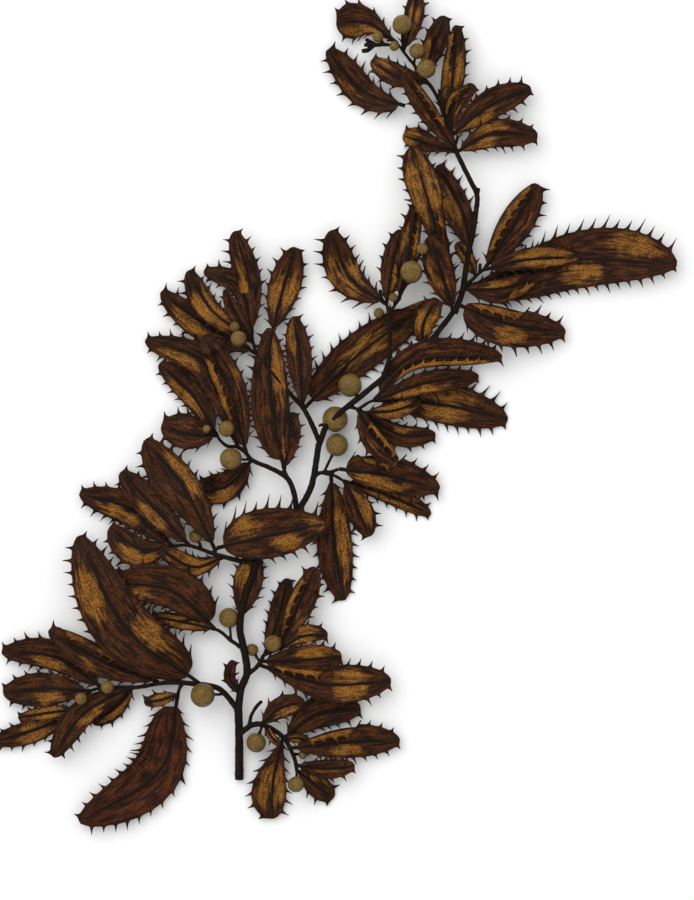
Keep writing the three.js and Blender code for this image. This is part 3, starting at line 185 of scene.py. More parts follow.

# Leaves by part of the sprig: number, the node that carries it, stalk end, middle and tip in plan, half
# widths to the left and to the right, then: peak (where the left and the right side are widest), spines (how
# long the left and the right teeth are against the usual), fold (side and stretch of a folded margin), gold
# (side and stretch of each ochre patch of painted light, and its strength where that isn't 1), red (reddish
# skin).
LEAVES = (
    ("top", (
        (1, "top_branch", (121.5, 238.2), (108.9, 242.7), (98.1, 255.3), 4.4, 4.8,
         {"peak": (0.38, 0.6), "spines": (1.3, 1.3), "gold": (("L", 0.3, 0.8, 0.5),)}),
        (2, "top_branch", (119.1, 257.7), (110.4, 263.4), (100.8, 263.6), 5.2, 5.6,
         {"peak": (0.75, 0.75), "gold": (("L", 0.2, 0.95),)}),
        (3, "top_branch", (121, 254.8), (123.6, 263.4), (125.1, 273.3), 2.8, 3.2,
         {"gold": (("C", 0.2, 0.8, 0.8),)}),
        (4, "top_branch", (127, 247), (130.8, 258), (133.5, 265.2), 3.3, 3.5, {"gold": (("L", 0.1, 0.6),)}),
        (5, "top_branch", (128.4, 245.2), (118.4, 247.4), (111.3, 252), 3.3, 3.6,
         {"gold": (("B", 0.7, 1.0, 0.8),)}),
    )),
    ("middle", (
        (6, "upper_left_branch", (91.4, 147.6), (108.4, 164.4), (130.2, 180), 6.4, 6,
         {"peak": (0.36, 0.5), "fold": ("L", 0.82, 0.97), "gold": (("C", 0.3, 0.7, 0.8),)}),
        (1, "middle_branch", (115.7, 178.8), (105, 186.6), (99.3, 201), 5.6, 4.3,
         {"spines": (1.4, 1.0), "gold": (("B", 0.3, 0.7, 0.8),)}),
        (2, "middle_branch", (116, 178.6), (117.9, 191.4), (120.3, 201.3), 3.4, 3.4,
         {"gold": (("R", 0.2, 0.8),)}),
        (3, "middle_branch", (119.7, 180), (122.7, 195), (125.4, 210.3), 3.2, 3.2,
         {"fold": ("R", 0.4, 0.9), "gold": (("L", 0.3, 0.8, 0.6),)}),
        (4, "right_arm_upper", (136.6, 224.6), (129, 226.8), (120.9, 229.8), 2.8, 3.8,
         {"peak": (0.7, 0.7), "gold": (("B", 0.72, 1.0),)}),
        (5, "right_arm_upper", (141.4, 194), (139.2, 205.5), (131.7, 221), 6, 3,
         {"gold": (("L", 0.3, 0.9),)}),
        (7, "right_arm_middle", (135.9, 176.4), (130.2, 202.5), (123.6, 226.2), 5.2, 5,
         {"peak": (0.78, 0.7), "fold": ("R", 0.45, 0.62), "gold": (("B", 0.55, 0.95),)}),
        (8, "right_arm_middle", (136.1, 176.6), (132.6, 187.5), (129, 199.2), 4.8, 4,
         {"gold": (("L", 0.2, 0.8, 0.7), ("R", 0.2, 0.8, 0.5))}),
        (9, "right_arm_middle", (126.6, 165.9), (126.9, 172.5), (131.4, 180.4), 3.3, 3.7,
         {"gold": (("B", 0.1, 0.9),)}),
    )),
    ("right", (
        (1, "right_arm_upper", (139.5, 184), (169.6, 192), (203.1, 190.8), 9.6, 9.4,
         {"peak": (0.68, 0.33), "spines": (1.7, 1.0), "gold": (("R", 0.48, 0.62), ("L", 0.73, 0.88))}),
        (2, "right_arm_middle", (112.2, 149.9), (132, 148.8), (152.4, 144), 6.4, 5.8,
         {"fold": ("L", 0.3, 0.55), "spines": (1.4, 1.0), "gold": (("B", 0.35, 0.7),)}),
        (3, "right_arm_lower", (103.2, 125.7), (117, 121.2), (129.3, 115.5), 3.5, 2.5,
         {"gold": (("B", 0.1, 0.9, 0.9),)}),
        (4, "right_arm_lower", (99.3, 127.8), (100.2, 108), (102.9, 89.7), 5.3, 5.4,
         {"peak": (0.5, 0.6), "gold": (("L", 0.1, 0.9),)}),
        (5, "right_arm_middle", (109.5, 146.2), (119.4, 139.8), (130.8, 139.5), 3, 3.6,
         {"gold": (("L", 0.4, 0.7, 0.9),)}),
    )),
    ("left", (
        (1, "upper_left_arm", (75.4, 131.8), (67.8, 124.2), (56.7, 122.1), 4.6, 4.6,
         {"gold": (("L", 0.4, 0.8),)}),
        (2, "left_middle_branch", (51.9, 106.2), (37.8, 117.9), (23.7, 122.1), 5.2, 4.3,
         {"gold": (("L", 0.4, 0.8),)}),
        (3, "left_middle_branch", (57, 106.2), (47.1, 116.7), (36, 128.4), 4.6, 4.6,
         {"gold": (("L", 0.3, 0.6),)}),
        (4, "left_middle_branch", (52.2, 106.3), (42, 105.3), (32.7, 111.9), 5.6, 3.4,
         {"gold": (("L", 0.2, 0.8),)}),
        (5, "left_middle_branch", (67.5, 102.9), (58.5, 99.9), (48, 105), 2.8, 3.4,
         {"gold": (("B", 0.1, 0.9),)}),
    )),
    ("lower_left", (
        (1, "left_side_branch", (64.5, 81.3), (52, 92.6), (31.8, 95.4), 5.4, 7.4,
         {"peak": (0.5, 0.36), "gold": (("L", 0.6, 0.95),)}),
        (2, "lower_left_branch", (59.7, 65.1), (38.8, 80.6), (23.6, 109.2), 9.6, 8.6,
         {"peak": (0.5, 0.33), "spines": (1.0, 1.2), "gold": (("L", 0.6, 0.85), ("R", 0.2, 0.5, 0.9))}),
        (3, "lower_left_branch", (30.9, 63.7), (15.6, 72.9), (0.3, 74.4), 4, 4.9,
         {"gold": (("L", 0.35, 0.7),)}),
        (4, "lower_left_branch", (23.4, 57.4), (10.8, 51), (-2.7, 47.1), 3.6, 3.4,
         {"gold": (("B", 0.3, 0.7),)}),
        (5, "lower_left_branch", (27.3, 62.7), (14.4, 63.3), (0.6, 62.1), 5.2, 5,
         {"gold": (("L", 0.3, 0.6),)}),
        (6, "lower_left_branch", (23.4, 57.4), (13.5, 56.1), (5.4, 54.6), 2, 2, {"gold": (("B", 0.1, 0.9),)}),
        (7, "lower_left_branch", (40.2, 63.8), (34.2, 57.3), (27.3, 52.8), 3, 2.6,
         {"gold": (("L", 0.1, 0.9),)}),
        (8, "lower_left_branch", (39, 63.8), (25.2, 56), (15.9, 42.9), 3.6, 4.4,
         {"gold": (("L", 0.3, 0.6),)}),
    )),
    ("lower_right", (
        (1, "right_side_branch", (79.4, 73.6), (83.2, 84), (86.4, 96.4), 3.2, 3.2, {}),
        (2, "lower_right_branch", (84.9, 48.9), (81.9, 35.4), (81.3, 24), 4.2, 6.2,
         {"peak": (0.68, 0.68), "gold": (("B", 0.35, 0.85),)}),
        (3, "lower_right_branch", (85.2, 48.7), (95.4, 55.8), (108.3, 57.3), 5.2, 4.6, {}),
        (4, "lower_right_branch", (89, 39), (95.1, 34.2), (99.9, 30), 3.4, 3.6,
         {"peak": (0.6, 0.6), "gold": (("L", 0.1, 0.7),)}),
    )),
    ("upper_left", (
        (1, "upper_left_branch", (77, 163.9), (61.8, 172.5), (48.3, 182.7), 5.2, 3.2,
         {"gold": (("L", 0.3, 0.85),)}),
        (2, "upper_left_branch", (75.8, 167.4), (62.7, 177.9), (56.4, 189), 4.2, 3,
         {"peak": (0.62, 0.62), "spines": (1.4, 1.0), "gold": (("B", 0.2, 0.8),)}),
        (3, "upper_left_branch", (75.6, 169.9), (71.6, 184), (61, 189), 2.8, 3.6, {}),
        (4, "upper_left_arm", (65, 139.6), (57.6, 151.5), (47.7, 161.1), 3.6, 4.6,
         {"gold": (("L", 0.2, 0.8),)}),
        (5, "upper_left_arm", (71.4, 135.8), (60.9, 161.4), (43.5, 168), 4.8, 4.2,
         {"peak": (0.6, 0.6), "gold": (("L", 0.6, 0.9),)}),
        (6, "upper_left_arm", (64.9, 139.6), (57, 139.8), (48.3, 142.5), 4.8, 5.8,
         {"gold": (("R", 0.2, 0.7, 0.5),)}),
        (7, "upper_left_branch", (81.6, 170), (84.6, 182.4), (88.8, 195.9), 4.6, 5,
         {"gold": (("B", 0.25, 0.7),)}),
    )),
    ("top", (
        (6, "right_arm_upper", (136.8, 224.6), (128.4, 236.4), (120.9, 247.8), 3.2, 3.2,
         {"fold": ("R", 0.25, 0.9), "gold": (("L", 0.2, 0.6, 0.3),)}),
        (7, "top_branch", (134.7, 231.6), (135.9, 247.5), (137.1, 262.5), 4.2, 3.6,
         {"peak": (0.4, 0.55), "fold": ("L", 0.35, 0.95), "gold": (("B", 0.3, 0.7, 0.9),)}),
        (8, "top_branch", (135.2, 230), (136.2, 238.5), (142.5, 244.5), 3.2, 3,
         {"fold": ("L", 0.3, 0.9), "gold": (("R", 0.3, 0.8, 0.6),)}),
        (9, "top_branch", (135.4, 229.4), (147.6, 238.8), (159.3, 243.6), 4.5, 4.3,
         {"gold": (("R", 0.1, 0.55),)}),
        (10, "right_arm_upper", (137.2, 224), (148.5, 230.1), (161.4, 229.2), 4, 4.5,
         {"gold": (("R", 0.1, 0.5), ("L", 0.3, 0.7, 0.8))}),
    )),
    ("right", (
        (6, "right_arm_upper", (145.3, 189.2), (153.9, 202.2), (161.7, 214.8), 5.6, 5.4,
         {"fold": ("L", 0.15, 0.95), "gold": (("R", 0.3, 0.8, 0.4),)}),
        (7, "right_arm_upper", (139, 183.2), (150, 183.3), (161.4, 186.9), 3, 4.6,
         {"fold": ("R", 0.55, 0.95), "gold": (("L", 0.1, 0.8, 0.8),)}),
        (8, "right_arm_upper", (145.3, 189.1), (159.9, 192.3), (173.7, 192.9), 3.6, 3,
         {"gold": (("B", 0.3, 1.0),)}),
        (9, "right_arm_upper", (137.3, 178.6), (151.5, 172.9), (169.8, 170.4), 5.5, 6.8,
         {"peak": (0.45, 0.38), "fold": ("L", 0.1, 0.6), "gold": (("R", 0.42, 0.62),)}),
        (10, "right_arm_upper", (142.8, 187.2), (140.4, 192.3), (136.8, 197.1), 2, 2.2,
         {"gold": (("B", 0.1, 0.9, 0.9),)}),
        (11, "right_arm_lower", (101.7, 129.3), (116.4, 127.2), (132, 123.3), 6.6, 4.9,
         {"peak": (0.36, 0.5), "fold": ("L", 0.2, 0.55), "gold": (("R", 0.1, 0.7),)}),
        (12, "right_arm_lower", (103.2, 125.7), (107.4, 117), (111, 109), 4.4, 3.6,
         {"gold": (("L", 0.2, 0.9),)}),
        (13, "right_arm_middle", (107.1, 147.2), (112.5, 138.6), (119.1, 131.4), 3, 4.2,
         {"fold": ("L", 0.25, 0.95), "gold": (("R", 0.2, 0.8, 0.4),)}),
        (14, "right_arm_middle", (109.5, 146.3), (117.6, 146.7), (126.3, 149.4), 2.6, 2.6,
         {"gold": (("B", 0.1, 0.9),)}),
        (15, "right_arm_middle", (112.2, 149.9), (127.5, 155.1), (143.7, 157.2), 3.4, 3.8,
         {"gold": (("R", 0.15, 0.7),)}),
        (16, "right_arm_middle", (112.2, 149.9), (123.6, 161.1), (150.6, 162.9), 5.8, 3.2,
         {"fold": ("R", 0.2, 0.93), "gold": (("L", 0.3, 0.7, 0.4),)}),
    )),
    ("left", (
        (6, "left_middle_branch", (65.1, 105.6), (81, 109.4), (97.5, 112.8), 8.4, 6.8,
         {"peak": (0.38, 0.47), "spines": (1.6, 1.0),
          "gold": (("L", 0.16, 0.4), ("R", 0.5, 0.75), ("B", 0.85, 1.0, 0.6))}),
        (7, "left_middle_branch", (64.6, 105), (55.8, 122.7), (43.8, 138.3), 7.2, 5,
         {"peak": (0.62, 0.5), "gold": (("R", 0.4, 0.8),)}),
    )),
    ("lower_left", (
        (9, "left_side_branch", (64.6, 81.3), (54.9, 83.4), (45.3, 85.2), 2.4, 2.2,
         {"gold": (("B", 0.1, 0.9),)}),
        (10, "lower_left_branch", (47.6, 65.4), (31.2, 71.4), (14.7, 81), 4.8, 4.8,
         {"fold": ("R", 0.3, 0.9), "gold": (("L", 0.3, 0.7, 0.4),)}),
        (11, "lower_left_branch", (53.4, 61.4), (48, 38.8), (23.7, 23.4), 7.4, 8.4,
         {"peak": (0.58, 0.33), "red": True}),
        (12, "lower_left_branch", (53.4, 61.8), (48, 60), (43.2, 59.1), 1.8, 2.2,
         {"gold": (("B", 0.1, 0.9),)}),
    )),
    ("lower_right", (
        (5, "main_stem_middle", (72, 84), (74.1, 93), (76.5, 104.1), 4.6, 4.2, {"gold": (("L", 0.4, 0.95),)}),
        (6, "right_side_branch", (84.3, 75.6), (89.1, 87.6), (94.8, 99.9), 4.2, 4.6,
         {"fold": ("L", 0.1, 0.85), "gold": (("R", 0.2, 0.7, 0.5),)}),
        (7, "right_side_branch", (84.2, 75.6), (91.2, 79.2), (98.4, 79.5), 3.2, 2,
         {"gold": (("B", 0.1, 0.9),)}),
        (8, "lower_right_branch", (78.6, 52.7), (84.3, 57.6), (91.5, 59.4), 3.4, 3.2,
         {"gold": (("R", 0.3, 0.9),)}),
        (9, "right_side_branch", (78.4, 71.4), (90.9, 72), (102.6, 73.2), 4.4, 4.6,
         {"gold": (("L", 0.4, 0.95),)}),
        (10, "right_side_branch", (77.6, 70.6), (97.5, 64.8), (117.3, 65.7), 6, 5.4,
         {"peak": (0.63, 0.63), "fold": ("L", 0.1, 0.5), "gold": (("B", 0.6, 0.8),)}),
        (11, "lower_right_branch", (87, 45.6), (102.9, 47.1), (120, 47.7), 5.4, 4.7,
         {"fold": ("L", 0.15, 0.6), "gold": (("R", 0.4, 0.6),)}),
        (12, "lower_right_branch", (88.9, 40.2), (97.8, 39.3), (106.5, 40.2), 2.8, 3,
         {"gold": (("R", 0.2, 0.8, 0.5),)}),
        (13, "main_stem_middle", (72.3, 62), (68.8, 67), (70, 72), 1.6, 1.8, {"red": True}),
        (14, "lower_right_branch", (79.4, 52.2), (81.6, 48.9), (84, 46.8), 1.2, 1.2,
         {"gold": (("B", 0.1, 0.9),)}),
        (15, "lower_right_branch", (85.8, 48.3), (89.4, 48.6), (93, 47.4), 1.5, 1.5,
         {"gold": (("B", 0.1, 0.9, 0.8),)}),
    )),
    ("upper_left", (
        (13, "upper_left_branch", (75.8, 168.3), (69.6, 177.6), (67.5, 183.3), 1.9, 1.9, {}),
        (8, "upper_left_branch", (75.6, 170), (75, 184.5), (70.5, 200.7), 4, 3.6,
         {"peak": (0.64, 0.55), "spines": (1.5, 1.0), "gold": (("L", 0.05, 0.75),)}),
        (9, "upper_left_arm", (74, 133.8), (68.7, 153.6), (61.2, 169.5), 5, 5,
         {"fold": ("L", 0.25, 0.85), "gold": (("R", 0.2, 0.8, 0.4),)}),
        (10, "upper_left_branch", (90.9, 147.6), (90, 160.8), (88.2, 175.2), 3.8, 3.8,
         {"gold": (("L", 0.6, 0.95),)}),
        (11, "upper_left_arm", (85.2, 129.4), (81.3, 150.6), (80.7, 171.6), 6.2, 5.4,
         {"peak": (0.36, 0.5), "gold": (("R", 0.45, 0.95),)}),
        (12, "upper_left_arm", (85.3, 129.2), (86.7, 138), (87.9, 146.4), 2.4, 3.2,
         {"gold": (("L", 0.1, 0.8),)}),
    )),
)

# How far out a tooth stands at each phase of its stretch of margin.
TOOTH_SHAPE = ((0.0, 0.0), (0.14, 0.1), (0.25, 0.42), (0.33, 1.0), (0.39, 0.32), (0.45, 0.05), (0.6, 0.0))
TOOTH_SHIFT = 0.5  # the right margin's teeth stand between the left margin's
TOOTH_STRETCH = 3.4  # margin to each tooth, mm
TOOTH_LEAN = 0.45  # how far a tooth leans to the leaf's tip, per mm that it stands out
STALK_HALF = 0.55  # half width of a leaf's stalk, mm
STALK_SHARE = 0.07  # part of a leaf's length that is stalk
FOLD_AT = 0.8  # a margin folds back from this share of the half width on
FOLD_BACK = 1.9  # how far it reaches back, against its own width
FOLD_RAMP = 0.09  # part of a leaf's length over which a fold begins or ends
FOLD_GAP = 0.25  # a folded margin is lifted this far, and a further FOLD_RISE in the middle, mm
FOLD_RISE = 0.9
CUP = 0.1  # rise of a margin per mm of half width
PEAK = 0.55  # where a leaf is widest as a rule
TIP_AT = 0.965  # the outline closes round the tip from this share of the length on
WAVES = (0.5, 0.8)  # how closely a margin's waves follow each other, radians per mm
TOOTH_SIZES = (0.55, 1.0)  # the smallest and the largest tooth of a margin, against its usual tooth
TOOTH_FROM = 0.9  # teeth stand outside this share of the half width
TOOTH_ROOT = 0.22  # how far a column inside the margin goes out with a tooth
MIDRIB_HALF = 0.45  # half width of the raised midrib, mm
WELD = 0.008  # points of a blade nearer than this are one, mm
ACROSS = (0.04, 0.13, 0.3, 0.55, 0.8, 0.88, 0.94, 1.0)  # columns from the midrib to a margin


# Sizes and colours


class LeafSettings(bpy.types.PropertyGroup):
    thickness: bpy.props.FloatProperty(
        name="Thickness", description="Thickness of a blade", default=0.42 * MM, unit="LENGTH"
    )
    midrib: bpy.props.FloatProperty(
        name="Midrib", description="Rise of the midrib over the blade", default=0.3 * MM, unit="LENGTH"
    )
    tooth: bpy.props.FloatProperty(
        name="Tooth", description="Length of a large tooth", default=2.7 * MM, unit="LENGTH"
    )
    ruffle: bpy.props.FloatProperty(
        name="Ruffle", description="Waviness of a margin", default=0.3 * MM, unit="LENGTH"
    )
    dark: bpy.props.StringProperty(name="Dark", description="sRGB hex of the blade", default="401E07")
    # Colour of the ochre patches, which are painted light on the lit parts of the blades.
    gold: bpy.props.StringProperty(name="Gold", description="sRGB hex of the ochre patches", default="9A6524")
    rib: bpy.props.StringProperty(name="Rib", description="sRGB hex of midribs and teeth", default="120701")
    red: bpy.props.StringProperty(name="Red", description="sRGB hex of the reddish leaves", default="4A1C0A")


class StemSettings(bpy.types.PropertyGroup):
    grain: bpy.props.FloatProperty(
        name="Voxel", description="Grain of the forks' blending", default=0.2 * MM, unit="LENGTH"
    )
    dark: bpy.props.StringProperty(name="Dark", description="sRGB hex of the stems", default="140A04")
    # Colour of the painted highlights on the stems.
    light: bpy.props.StringProperty(name="Light", description="sRGB hex of worn places", default="3C2410")


class BladderSettings(bpy.types.PropertyGroup):
    oval: bpy.props.FloatProperty(name="Oval", description="Height against width", default=1.04)
    light: bpy.props.StringProperty(name="Light", description="sRGB hex of the skin", default="7C6026")
    dark: bpy.props.StringProperty(name="Dark", description="sRGB hex of its speckles", default="2C1C08")


class StageSettings(bpy.types.PropertyGroup):
    floor: bpy.props.StringProperty(name="Floor", description="sRGB hex of the table", default="FFFFFF")
    key: bpy.props.FloatProperty(name="Key light", description="Power of the key light", default=9.0)
    lens: bpy.props.FloatProperty(name="Lens", description="Focal length of the camera, mm", default=180.0)


SETTINGS = {
    "seaweed_leaf": LeafSettings,
    "seaweed_stem": StemSettings,
    "seaweed_bladder": BladderSettings,
    "seaweed_stage": StageSettings,
}


# Materials


def linear(hex_colour):
    """An sRGB hex colour as linear RGBA."""
    parts = [int(hex_colour[k : k + 2], 16) / 255 for k in (0, 2, 4)]
    return [c / 12.92 if c <= 0.04045 else ((c + 0.055) / 1.055) ** 2.4 for c in parts] + [1.0]


def feed(tree, made, inputs):
    """Gives a node its inputs: one that is a socket is linked, any other is set."""
    for key, value in inputs.items():
        if isinstance(value, bpy.types.NodeSocket):
            tree.links.new(value, made.inputs[key])
        else:
            made.inputs[key].default_value = value


def node(tree, kind, settings=None, inputs=None):
    """A node with its settings and its inputs."""
    made = tree.nodes.new(kind)
    for key, value in (settings or {}).items():
        setattr(made, key, value)
    feed(tree, made, inputs or {})
    return made


def finish_skin(tree, shader, colour, rough, shine, bumps):
    """Gives a skin its colour, roughness, shine and bumps: their strength, their depth in mm and where."""
    strength, depth, height = bumps
    relief = {"Strength": strength, "Distance": depth * MM, "Height": height}
    bump = node(tree, "ShaderNodeBump", None, relief)
    look = {"Base Color": colour, "Roughness": rough, "IOR": SKIN_IOR, "Specular IOR Level": shine}
    feed(tree, shader, {**look, "Normal": bump.outputs[0]})


def new_material(name):
    """A material with a principled shader, its tree, the shader and the object coordinates."""
    made = bpy.data.materials.new(name)
    made.use_nodes = True
    tree = made.node_tree
    shader = tree.nodes["Principled BSDF"]
    place = node(tree, "ShaderNodeTexCoord").outputs["Object"]
    return made, tree, shader, place


def mix(tree, factor, a, b):
    """Colour a to colour b by factor."""
    return node(tree, "ShaderNodeMix", {"data_type": "RGBA"}, {0: factor, 6: a, 7: b}).outputs[2]


def ramp(tree, value, low, high):
    """value's stretch from low to high as 0 to 1."""
    made = node(tree, "ShaderNodeMapRange", {"interpolation_type": "SMOOTHSTEP"}, {0: value, 1: low, 2: high})
    return made.outputs[0]


def noise_at(tree, place, size_mm, detail=3.0):
    """Noise whose grains are about size_mm across."""
    settings = {"Vector": place, "Scale": 1 / (size_mm * MM), "Detail": detail, "Roughness": 0.6}
    return node(tree, "ShaderNodeTexNoise", None, settings).outputs["Fac"]


def maths(tree, what, a, b):
    """The sum, difference or product of a and b."""
    return node(tree, "ShaderNodeMath", {"operation": what}, {0: a, 1: b}).outputs[0]


def blade_material(name, dark_hex, gold_hex, rib_hex):
    """Leathery brown seaweed blade, dried flat: a satin skin with painted light between midrib and margin,
    ochre patches of painted light where a leaf is lit, a near-black midrib, and fine dark pits all over that
    read as a stipple."""
    made, tree, shader, place = new_material(name)
    paint = node(tree, "ShaderNodeAttribute", {"attribute_name": "blade"})
    split = node(tree, "ShaderNodeSeparateColor", None, {0: paint.outputs["Color"]})
    gold, rib, margin = split.outputs[0], split.outputs[1], split.outputs[2]
    painted_light_band = paint.outputs["Alpha"]
    flow = node(tree, "ShaderNodeAttribute", {"attribute_name": "flow"}).outputs["Vector"]
    flow_noise = node(tree, "ShaderNodeTexNoise", None, {"Vector": flow, "Scale": 1.0, "Detail": 4.0})
    streaks = flow_noise.outputs["Fac"]
    spots = maths(tree, "MULTIPLY", noise_at(tree, place, 4.0), 0.35)
    cloud = maths(tree, "ADD", maths(tree, "MULTIPLY", streaks, 0.65), spots)
    ragged = maths(tree, "ADD", gold, maths(tree, "MULTIPLY", maths(tree, "SUBTRACT", cloud, 0.5), 2.4))
    # Painted light: ochre patches where a leaf is lit, made ragged by the streaks and clouds.
    painted_light_patch = ramp(tree, ragged, 0.35, 1.15)
    base = mix(tree, ramp(tree, streaks, 0.35, 0.65), linear(BLADE_SHADE), linear(dark_hex))
    # Painted light: each half of a blade is lighter between midrib and margin, as if its arch were lit.
    lit = maths(tree, "MULTIPLY", painted_light_band, ramp(tree, cloud, 0.42, 0.66))
    base = mix(tree, maths(tree, "MULTIPLY", lit, 0.7), base, linear(BLADE_PAINTED_LIGHT))
    colour = mix(tree, painted_light_patch, base, linear(gold_hex))
    pits = ramp(tree, noise_at(tree, place, PIT_MM, 1.0), 0.44, 0.62)
    colour = mix(tree, maths(tree, "MULTIPLY", pits, 0.7), colour, linear(BLADE_SHADE))
    colour = mix(tree, maths(tree, "MULTIPLY", ramp(tree, margin, 0.3, 1.0), 0.8), colour, linear(rib_hex))
    colour = mix(tree, ramp(tree, rib, 0.25, 0.8), colour, linear(rib_hex))
    rough = node(tree, "ShaderNodeMapRange", None, {0: pits, 3: 0.5, 4: 0.72}).outputs[0]
    grain = maths(tree, "ADD", maths(tree, "MULTIPLY", pits, -0.6), noise_at(tree, place, 1.4))
    finish_skin(tree, shader, colour, rough, 0.14, (0.45, 0.15, grain))
    return made


def stem_material(settings):
    """Dried seaweed stem, cartilage-like: near-black brown, wrinkled, with a few lighter places at random
    that are painted highlights.
    """
    made, tree, shader, place = new_material("dried_stem")
    wrinkles = noise_at(tree, place, 0.5)
    # Painted highlights: lighter places scattered at random along the stems.
    painted_highlight = ramp(tree, noise_at(tree, place, 2.5), 0.55, 0.75)
    colour = mix(tree, maths(tree, "MULTIPLY", painted_highlight, 0.6), linear(settings.dark), linear(settings.light))
    finish_skin(tree, shader, colour, 0.55, 0.12, (0.5, 0.15, wrinkles))
    return made


def bladder_material(settings):
    """Dried air bladder: a thin olive-gold skin with dark pits, waxy enough to hold a soft highlight, with
    painted shade darkening its underside, its rim and its lower right.
    """
    made, tree, shader, place = new_material("bladder_skin")
    speckle = ramp(tree, noise_at(tree, place, PIT_MM, 1.0), 0.46, 0.62)
    cloud = ramp(tree, noise_at(tree, place, 3.0), 0.35, 0.75)
    paint = node(tree, "ShaderNodeAttribute", {"attribute_name": "bladder"})
    # Painted shade: darker on the underside, at the rim and towards the lower right.
    low = ramp(tree, paint.outputs["Fac"], 0.14, 0.72)
    colour = mix(tree, maths(tree, "MULTIPLY", cloud, 0.4), linear(settings.light), linear(settings.dark))
    colour = mix(tree, maths(tree, "MULTIPLY", speckle, 0.6), colour, linear(settings.dark))
    colour = mix(tree, maths(tree, "MULTIPLY", low, 0.95), colour, linear(BLADE_SHADE))
    finish_skin(tree, shader, colour, 0.4, 0.35, (0.4, 0.1, speckle))
    return made


# Heights, read from the frame


CAD_TREES = {}


def cad_tree(name):
    """The ray-cast tree of a CAD node, kept for the next leaf on it."""
    if name not in CAD_TREES:
        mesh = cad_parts[name].data
        made = bmesh.new()
        made.from_mesh(mesh)
        CAD_TREES[name] = BVHTree.FromBMesh(made)
        made.free()
    return CAD_TREES[name]


def layers_at(name, x, y):
    """The (bottom, top) heights in mm of each layer of a CAD node over a plan point."""
    tree = cad_tree(name)
    start = Vector(((x - SHEET_CENTRE[0]) * MM, (y - SHEET_CENTRE[1]) * MM, -RAY_START))
    hits = []
    while len(hits) < MOST_HITS:
        where = tree.ray_cast(start, Vector((0, 0, 1)))[0]
        if where is None:
            break
        hits.append(where.z / MM)
        start = where + Vector((0, 0, RAY_STEP))
    return [(a, b) for a, b in zip(hits[::2], hits[1::2])]


def place_mm(x, y, z):
    """A plan point in mm as a point of the frame."""
    return Vector(((x - SHEET_CENTRE[0]) * MM, (y - SHEET_CENTRE[1]) * MM, z * MM))


def rows_of(table, host):
    """A host's rows of a table."""
    return [row for row in table if row[0] == host]


def stem_points(row):
    """A stem's points in mm, with their heights. A node's first stem reaches back into the one before it."""
    heights = row[4] or (STEM_Z,) * len(row[1])
    points = [(x, y, z) for (x, y), z in zip(row[1], heights)]
    if row[0] != "main_stem_lower" and row is rows_of(STEMS, row[0])[0]:
        first, second = Vector(points[0]), Vector(points[1])
        points.insert(0, tuple(first + (first - second).normalized() * FORK_OVERLAP))
    return points


def spline(points, steps):
    """A centripetal Catmull-Rom curve through the points, steps + 1 places evenly along it."""
    pts = [Vector(p) for p in points]
    pts = [pts[0] * 2 - pts[1]] + pts + [pts[-1] * 2 - pts[-2]]
    fine = []
    for k in range(1, len(pts) - 2):
        p0, p1, p2, p3 = pts[k - 1 : k + 3]
        d01 = max(1e-4, (p1 - p0).length) ** 0.5
        d12 = max(1e-4, (p2 - p1).length) ** 0.5
        d23 = max(1e-4, (p3 - p2).length) ** 0.5
        m1 = (p2 - p1) + ((p1 - p0) / d01 - (p2 - p0) / (d01 + d12)) * d12
        m2 = (p2 - p1) + ((p3 - p2) / d23 - (p3 - p1) / (d12 + d23)) * d12
        for step in range(SPLINE_STEPS):
            t = step / SPLINE_STEPS
            a = 2 * t**3 - 3 * t**2 + 1
            b = t**3 - 2 * t**2 + t
            c = -2 * t**3 + 3 * t**2
            d = t**3 - t**2
            fine.append(a * p1 + b * m1 + c * p2 + d * m2)
    fine.append(pts[-2])
    lengths = [0.0]
    for p, q in zip(fine, fine[1:]):
        lengths.append(lengths[-1] + (q - p).length)
    return [along(fine, lengths, lengths[-1] * k / steps) for k in range(steps + 1)], lengths[-1]


def along(points, lengths, distance):
    """The place at a distance along a run of points."""
    for k in range(1, len(points)):
        if lengths[k] >= distance:
            share = (distance - lengths[k - 1]) / max(1e-9, lengths[k] - lengths[k - 1])
            return points[k - 1].lerp(points[k], share)
    return points[-1].copy()


def nearest_stem(host, foot):
    """The point of a host's stems that is nearest to a leaf's foot, in mm."""
    best = None
    for row in rows_of(STEMS, host):
        for p in spline(stem_points(row), NEAR_STEPS)[0]:
            d = math.hypot(p.x - foot[0], p.y - foot[1])
            if best is None or d < best[0]:
                best = (d, p)
    return best[1]


# Leaves


def clamp(value):
    """The value kept between 0 and 1."""
    return min(1.0, max(0.0, value))


def half_width(u, full, peak):
    """Half width of a leaf at a share of its length, in mm."""
    t = clamp((u - STALK_SHARE) / (1 - STALK_SHARE))
    g = t ** (math.log(0.5) / math.log(peak))
    return STALK_HALF + (full - STALK_HALF) * max(0.0, math.sin(math.pi * g)) ** 0.6


def tooth_out(phase):
    """How far out a tooth stands at a phase of its stretch, from 0 to 1."""
    phase %= 1.0
    table = TOOTH_SHAPE + ((1.0, 0.0),)
    for (a, p), (b, q) in zip(table, table[1:]):
        if a <= phase <= b:
            return p + (q - p) * (phase - a) / (b - a)
    return 0.0


def stations(length):
    """Shares of a leaf's length where its outline has points, and how many teeth each margin has."""
    teeth = max(3, round(length * (1 - STALK_SHARE) / TOOTH_STRETCH))
    phases = sorted({p for p, _ in TOOTH_SHAPE} | {(p + TOOTH_SHIFT) % 1 for p, _ in TOOTH_SHAPE})
    us = [STALK_SHARE * k / 4 for k in range(4)]
    for k in range(teeth):
        for phase in phases:
            us.append(STALK_SHARE + (1 - STALK_SHARE) * (k + phase) / teeth)
    return us + [1.0], teeth


